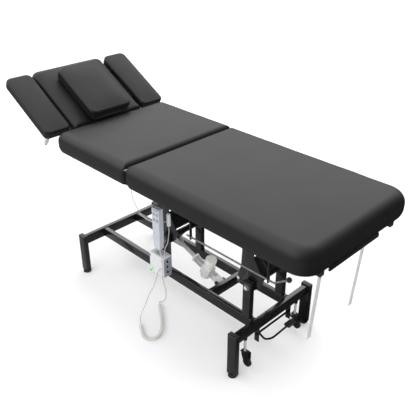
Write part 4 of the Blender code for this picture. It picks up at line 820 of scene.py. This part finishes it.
vents = repeated(Shape().box((0.0052, 0.034, 0.007), (BOX_X - 0.0192, BOX_Y, 0.32), 0.0014, 2), 5,
                 (VENT_STEP, 0.0, 0.0))
screw_wells = Shape()
for x, z in BOX_SCREWS:
    screw_wells.rod(0.0036, 0.0036, (x, -0.182, z), "Y", sides=28)
shape = carve(Shape().box((0.102, 0.056, 0.115), (BOX_X, BOX_Y, BOX_Z), 0.006, 4), vents,
              socket_wells(), screw_wells,
              Shape().rod(0.0072, 0.017, (BUTTON_X, -0.182, BUTTON_Z), "Y", sides=48))
show("control_box_case", shape, WHITE, "base", "control_box", angle=30.0)
# The black sheets sunk in the vent slots are painted shade for the vents' dark insides; the black discs are
# the screw heads.
shape = Shape()
for k in range(5):
    shape.box((0.0046, 0.0332, 0.001), (BOX_X + (k - 2) * VENT_STEP, BOX_Y, 0.3186))
for x, z in BOX_SCREWS:
    shape.rod(0.004, 0.0012, (x, -0.1821, z), "Y", sides=24, rim=0.0003)
show("control_box_vent_shade_and_screws", shape, SOCKET_BLACK_AND_VENT_SHADE, "base")
shape = carve(Shape().box((0.001, 0.046, 0.104), (0.0219, BOX_Y, BOX_Z), 0.0004, 2), socket_wells())
show("control_box_panel", shape, BLUEGREY, "base", angle=30.0)
shape = Shape()
for k in range(3):
    z = SOCKET_Z + k * SOCKET_STEP
    shape.rod(0.0068, 0.003, (0.0212, BOX_Y, z), "X", rim=0.0005)
    for n in range(5):
        angle = radians(50 * n - 100)
        shape.rod(0.0006, 0.0044, (0.0212, BOX_Y + 0.004 * sin(angle), z + 0.004 * cos(angle)), "X",
                  sides=10)
show("control_box_sockets", shape, SOCKET_BLACK_AND_VENT_SHADE, "base")
shape = Shape().rod(0.0065, 0.0055, (BUTTON_X, -0.18175, BUTTON_Z), "Y", sides=48, rim=0.0012, rim_segments=4)
show("power_button_lens", shape, GREEN, "power_button_body", "power_button")

# Top frame
ROD_LINE_Y, ROD_LINE_Z = -0.22, 0.57
for way, side in NEAR_FAR:
    shape = Shape().box((1.071, TUBE, FLAT), (0.3855, side * TOP_Y, TOP_Z), TOP_EDGE)
    if way == "near":
        for x in (0.26, 0.687):
            guide = Shape().box((0.005, 0.0125, 0.1717), (x, ROD_LINE_Y, 0.64385), 0.0012)
            shape.take(carve(guide, Shape().rod(0.0046, 0.02, (x, ROD_LINE_Y, ROD_LINE_Z), "X")).mesh)
            shape.weld((x, ROD_LINE_Y, 0.7146), (0.0025, 0, 0), (0, 0.00625, 0), 0.0011)
        shape.box((0.0235, 0.02, 0.004), (0.069, -0.23, 0.7142), 0.0008)
        shape.box((0.0235, 0.0024, 0.103), (0.069, -0.22655, 0.664), 0.001)
    show(f"top_rail_{way}_tube", shape, PAINT, "top", f"top_rail_{way}")
    shape = Shape()
    for x in (-0.1506, 0.9216):
        shape.box((0.0026, 0.0246, 0.0296), (x, side * TOP_Y, TOP_Z), 0.0011)
    show(f"top_rail_caps_{way}", shape, CAP, "top")
for label, x in (("head", -0.080358), ("foot", 0.449642)):
    ear = [(x + dx, z) for dx, z in (
        (-0.0486, 0.7227), (-0.0486, 0.7), (-0.012, 0.66), (-0.006, 0.6571), (0.0, 0.6562),
        (0.006, 0.6571), (0.01, 0.6612), (0.0114, UPPER_Z), (0.0114, 0.69), (-0.02, 0.7227))]
    shape = Shape().box((TUBE, 0.4344, FLAT), (x - 0.036, 0.0, TOP_Z), TOP_EDGE)
    bolt = Shape().rod(0.007, 0.2096, (x, 0.0, UPPER_Z), "Y")
    for k in BOTH:
        shape.weld((x - 0.036, k * 0.2172, TOP_Z), HALF_X, (0, 0, FLAT / 2))
        shape.plate(ear, 0.005, k * 0.1016)
        bolt.rod(0.0128, 0.0014, (x, k * 0.105, UPPER_Z), "Y", rim=0.0003)
        bolt.rod(0.0104, 0.0058, (x, k * 0.1086, UPPER_Z), "Y", sides=6, rim=0.0008)
    show(f"top_bar_{label}_tube", shape, PAINT, "top", f"top_bar_{label}")
    show(f"upper_rod_{label}_bolt", bolt, CAP, "top")
shape = Shape().box((0.008, 0.315, 0.018), (0.931, -0.046, 0.7357), 0.0016)
shape.box((0.05, 0.305, 0.0025), (0.906, -0.046, 0.7426), 0.0008)
show("end_bar_strip", shape, PAINT, "top", "end_bar")

# Boards under the pads, and the mid section
show("leg_board_cloth", Shape().box((0.8994, 0.6154, 0.012), (0.46, 0.0, 0.751), 0.0018), UNDER, "top",
     "leg_board")
for way, side in NEAR_FAR:
    screw = Shape().lathe(((0.0, 0.0), (0.0042, 0.0), (0.004, -0.0012), (0.002, -0.0022), (0.0, -0.0024)),
                          (0.06, side * 0.28, 0.7447), 24)
    show(f"leg_screws_{way}", repeated(screw, 10, (0.088, 0.0, 0.0)), STEEL, "top")
show("mid_board_cloth", Shape(MID).box((0.4646, 0.6154, 0.012), (-0.266, 0.0, -0.0675), 0.0018), UNDER,
     "mid_section", "mid_board")
shape = Shape(MID).box((0.0011, 0.644, 0.072), (-0.0026, 0.0, -0.039), 0.0002, 1)
shape.box((0.055, 0.644, 0.0025), (-0.03, 0.0, -0.075), 0.0006)
show("mid_leaf", shape, STEEL, "mid_section")
shape = Shape(MID).box((0.0019, 0.64, 0.076), (0.0022, 0.0, -0.039), 0.0003, 1)
shape.box((0.055, 0.338, 0.0025), (0.029, 0.0, -0.0786), 0.0006)
knuckle = Shape(MID).rod(0.0022, 0.029, (0.0, -0.315, 0.0), "Y", sides=28, rim=0.0003)
shape.take(repeated(knuckle, 22, (0.0, 0.03, 0.0)).mesh)
shape.rod(0.0011, 0.668, (0.0, 0.0, 0.0), "Y", sides=20)
show("seam_hinge_strip", shape, STEEL, "top", "seam_hinge")
MID_FRAME_Z, HEAD_BOLT = -0.0863, (-0.5535, -0.09)
shape = Shape(MID)
for k in BOTH:
    shape.box((0.347, TUBE, TUBE), (-0.325, k * 0.18, MID_FRAME_Z), MID_EDGE)
    shape.box((0.0898, 0.005, 0.0234), (-0.5184, k * 0.1875, MID_FRAME_Z), 0.0012)
for x in (-0.1765, -0.4735):
    shape.box((TUBE, 0.36, 0.0234), (x, 0.0, MID_FRAME_Z), MID_EDGE)
    for k in BOTH:
        shape.weld((x, k * 0.1672, MID_FRAME_Z), HALF_X, (0, 0, 0.0117), 0.0013)
show("mid_frame_tube", shape, PAINT, "mid_section", "mid_frame")
shape = Shape(MID).rod(0.005, 0.384, (HEAD_BOLT[0], 0.0, HEAD_BOLT[1]), "Y")
for k in BOTH:
    shape.rod(0.0086, 0.005, (HEAD_BOLT[0], k * 0.1932, HEAD_BOLT[1]), "Y", sides=6, rim=0.0007)
show("head_hinge_bolt", shape, STEEL, "mid_section")

# Head section
BRACKETS_X, ARMREST_Y, TAB_X, TAB_Y = (-0.141, -0.351), 0.296, -0.075, 0.335
show("head_board_cloth", Shape(HEAD).box((0.3894, 0.3954, 0.012), (-0.246, 0.0, 0.016), 0.0018), UNDER,
     "head_section", "head_board")
shape = Shape(HEAD)
for k in BOTH:
    arm = Shape(HEAD).box((0.316, 0.01, 0.0194), (-0.144, k * 0.1725, 0.0), 0.002)
    shape.take(carve(arm, Shape(HEAD).rod(0.0056, 0.02, (0.0, k * 0.1725, 0.0), "Y")).mesh)
    for x in BRACKETS_X:
        shape.box((0.02, 0.01, 0.041), (x, k * 0.2225, 0.0205), 0.0014)
for x in BRACKETS_X:
    shape.box((0.02, 0.449, 0.007), (x, 0.0, 0.0062), 0.0014)
show("head_section_frame", shape, PAINT, "head_section")
for way, side in NEAR_FAR:
    body = f"armrest_{way}_body"
    shape = Shape(HEAD).box((0.294, 0.084, 0.0025), (-0.243, side * ARMREST_Y, 0.04545), 0.0009)
    for x in BRACKETS_X:
        for j in BOTH:
            shape.box((0.0025, 0.0815, 0.0185), (x + j * 0.0119, side * 0.2572, 0.0372), 0.0008)
        shape.rod(0.003, 0.0275, (x, side * 0.2245, 0.036), "X", sides=24)
        for j in BOTH:
            shape.rod(0.0052, 0.0026, (x + j * 0.0146, side * 0.2245, 0.036), "X", sides=6, rim=0.0004)
    show(f"armrest_bracket_{way}_plate", shape, STEEL, body, f"armrest_bracket_{way}")
    show(f"armrest_tab_{way}", Shape(HEAD).box((0.013, 0.021, 0.058), (TAB_X, side * TAB_Y, 0.0146), 0.003),
         STRAP, body)
    show(f"armrest_tab_tip_{way}", Shape(HEAD).rod(0.005, 0.009, (TAB_X, side * TAB_Y, -0.0188), rim=0.0012),
         CAP, body)

# Perforated straps
STRAP_X, STRAP_Y, STRAP_Z, PITCH = 0.866, 0.144, 0.715, 0.375 / 19
shape = Shape().rod(0.003, 0.332, (STRAP_X, 0.0, STRAP_Z), "Y", sides=28, rim=0.0004)
for k in BOTH:
    shape.plate(((0.8585, 0.7447), (0.8735, 0.7447), (0.8735, 0.718), (0.871, 0.711), (STRAP_X, 0.709),
                 (0.861, 0.711), (0.8585, 0.718)), 0.005, k * 0.161)
show("strap_rod_bar", shape, PAINT, "top", "strap_rod")
for way, side in NEAR_FAR:
    hanger = about_y(at(STRAP_X, side * STRAP_Y, STRAP_Z), radians(3.6))
    hole = Shape(LOCAL).box((0.006, 0.015, 0.0046), (0.0, 0.0, -PITCH * 0.75), 0.002)
    shape = carve(Shape(LOCAL).box((0.002, 0.024, 0.3825), (0.0, 0.0, -0.1928), 0.0005, 1),
                  repeated(hole, 36, (0.0, 0.0, -PITCH / 2)))
    bmesh.ops.transform(shape.mesh, matrix=hanger, verts=shape.mesh.verts)
    shape.matrix = hanger
    shape.take(carve(Shape(hanger).rod(0.0056, 0.024, (0.0, 0.0, 0.0), "Y", rim=0.0004),
                     Shape(hanger).rod(0.0036, 0.03, (0.0, 0.0, 0.0), "Y", sides=32)).mesh)
    shape.box((0.0032, 0.025, 0.008), (0.0, 0.0, -0.38), 0.0008)
    show(f"strap_{way}_ribbon", shape, STRAP, f"strap_{way}_body", f"strap_{way}", angle=30.0)

# Release rod with its ball
START = Vector((0.235, ROD_LINE_Y, ROD_LINE_Z))
rod_line = [Vector(p) for p in ((0.0, 0.0, 0.0), (0.2385, 0.0, 0.0), (0.4627, 0.0, 0.0),
                                (0.4854, 0.0, 0.006), (0.547, 0.0, 0.05))]
show("release_rod", Shape().tube([at(*(START + p)) for p in smooth_route(rod_line, 90)], 0.0039, 20), ROD,
     "lever", "release_lever")
shape = Shape()
bmesh.ops.create_uvsphere(shape.mesh, u_segments=40, v_segments=24, radius=0.011,
                          matrix=Matrix.Translation(at(*(START + rod_line[-1]))))
show("release_ball", shape, CAP, "lever", angle=180.0)

# Castors with their carrier
CASTOR_Y, CARRIER_Z, AXLE_X, AXLE_Z = 0.177, 0.162, 0.565, 0.036
FORK_SIDE = ((0.5396, 0.091), (0.5745, 0.091), (0.5745, 0.06), (0.5728, 0.033), (0.569, 0.03),
             (0.562, 0.03), (0.5575, 0.034), (0.544, 0.064), (0.5396, 0.076))
TREAD = ((0.0028, -0.0088), (0.014, -0.0088), (0.0146, -0.0074), (0.0182, -0.0074), (0.0204, -0.0062),
         (0.021, -0.003), (0.021, 0.003), (0.0204, 0.0062), (0.0182, 0.0074), (0.0146, 0.0074),
         (0.014, 0.0088), (0.0028, 0.0088))
shape, stems = Shape().box((0.01, 0.366, 0.01), (0.527, 0.0, CARRIER_Z), 0.0022), Shape()
for k in BOTH:
    y = k * CASTOR_Y
    shape.box((0.022, 0.006, 0.01), (0.538, y, CARRIER_Z), 0.0012)
    shape.rod(0.0086, 0.012, (FRAME_X, y, CARRIER_Z), rim=0.001)
    stems.take(carve(Shape().rod(0.006, 0.113, (FRAME_X, y, 0.1495), sides=36, rim=0.0006),
                     Shape().rod(0.0042, 0.02, (FRAME_X, y, 0.093))).mesh)
show("castor_carrier_bar", shape, PAINT, "carrier", "castor_carrier")
show("castor_stems", stems, CHROME, "carrier")
for way, side in NEAR_FAR:
    y = side * CASTOR_Y
    shape = Shape().box((0.0336, 0.026, 0.004), (FRAME_X, y, 0.0904), 0.0012)
    for k in BOTH:
        shape.plate(FORK_SIDE, 0.002, y + k * 0.012, 0.0005)
        shape.rod(0.005, 0.002, (AXLE_X, y + k * 0.0138, AXLE_Z), "Y", sides=6, rim=0.0004)
    shape.rod(0.0036, 0.01, (FRAME_X, y, 0.0954))
    shape.rod(0.0095, 0.003, (FRAME_X, y, 0.0872), rim=0.0006)
    shape.rod(0.002, 0.026, (AXLE_X, y, AXLE_Z), "Y", sides=20)
    show(f"castor_fork_{way}_plates", shape, FORK, f"fork_{way}", f"castor_fork_{way}")
    shape = Shape()
    skin(shape.mesh, [[shape.mesh.verts.new(at(AXLE_X + r * cos(radians(7.5 * k)), y + h,
                                               AXLE_Z + r * sin(radians(7.5 * k))))
                       for k in range(48)] for r, h in TREAD], closed=True)
    outward(shape.mesh)
    show(f"castor_wheel_{way}_tread", shape, RUBBER, f"wheel_{way}", f"castor_wheel_{way}", angle=40.0)

# Castor pedal of bent rod with a rubber pad
PEDAL_Z = 0.14
shape = Shape().tube([at(FRAME_X, y, PEDAL_Z) for y in (-0.11, 0.01, 0.13)], 0.0049, 20)
pivot = Vector((FRAME_X, 0.0, PEDAL_Z))
bow = [Vector(p) for p in ((0.0, -0.085, 0.0), (0.014, -0.086, -0.009), (0.034, -0.08, -0.02),
                           (0.05, -0.052, -0.0205), (0.052, 0.0, -0.0165), (0.05, 0.085, -0.014),
                           (0.044, 0.104, -0.01), (0.028, 0.107, -0.004), (0.0, 0.105, 0.0))]
shape.tube([at(*(pivot + p)) for p in smooth_route(bow, 120)], 0.0047, 18)
show("pedal_bow", shape, PAINT, "pedal_body", "pedal")
shape = Shape().box((0.03, 0.05, 0.013), (0.599, 0.072, 0.126), 0.0028)
rib = Shape().box((0.026, 0.0022, 0.0012), (0.599, 0.053, 0.1328), 0.0004, 2)
shape.take(repeated(rib, 9, (0.0, 0.0048, 0.0)).mesh)
show("pedal_pad", shape, RUBBER, "pedal_body")

# Handset
HANDSET_X = 0.069
KEYS = [(HANDSET_X + (0.01034 if i % 2 else -0.01034), 0.613 - 0.029 * (i // 2)) for i in range(4)]
shape = Shape(Matrix.Translation(at(HANDSET_X, -0.24, 0.642))).plate(
    ((-0.0235, 0.0), (0.0235, 0.0), (0.0235, -0.1271), (0.0215, -0.156), (0.018, -0.205),
     (-0.018, -0.205), (-0.0215, -0.156), (-0.0235, -0.1271)), 0.024, 0.0, 0.0001)
ease(shape.mesh, shape.mesh.edges[:], 0.006, 4)
wells = Shape()
for x, z in KEYS:
    wells.box((0.0142, 0.012, 0.0162), (x, -0.252, z), 0.0022)
show("handset_case", carve(shape, wells), HANDSET, "handset_body", "handset", angle=40.0)
show("handset_window", Shape().box((0.034, 0.0006, 0.009), (HANDSET_X, -0.252, 0.634), 0.0002, 1), KEY,
     "handset_body")
for i, (x, z) in enumerate(KEYS, 1):
    show(f"key_cap_{i}", Shape().box((0.013, 0.0045, 0.015), (x, -0.25125, z), 0.0018, 4), KEY, f"key_{i}",
         f"handset_key_{i}")
shape = Shape().lathe(((0.0, 0.0), (0.0088, 0.0), (0.0092, 0.0012), (0.0092, 0.011), (0.0084, 0.012),
                       (0.0084, 0.0132), (0.0092, 0.0142), (0.0092, 0.056), (0.0078, 0.0612),
                       (0.004, 0.063), (0.0, 0.063)), (0.0839, -0.1899, 0.537))
show("coupling_shell", shape, WHITE, "top", "cord_coupling", angle=40.0)
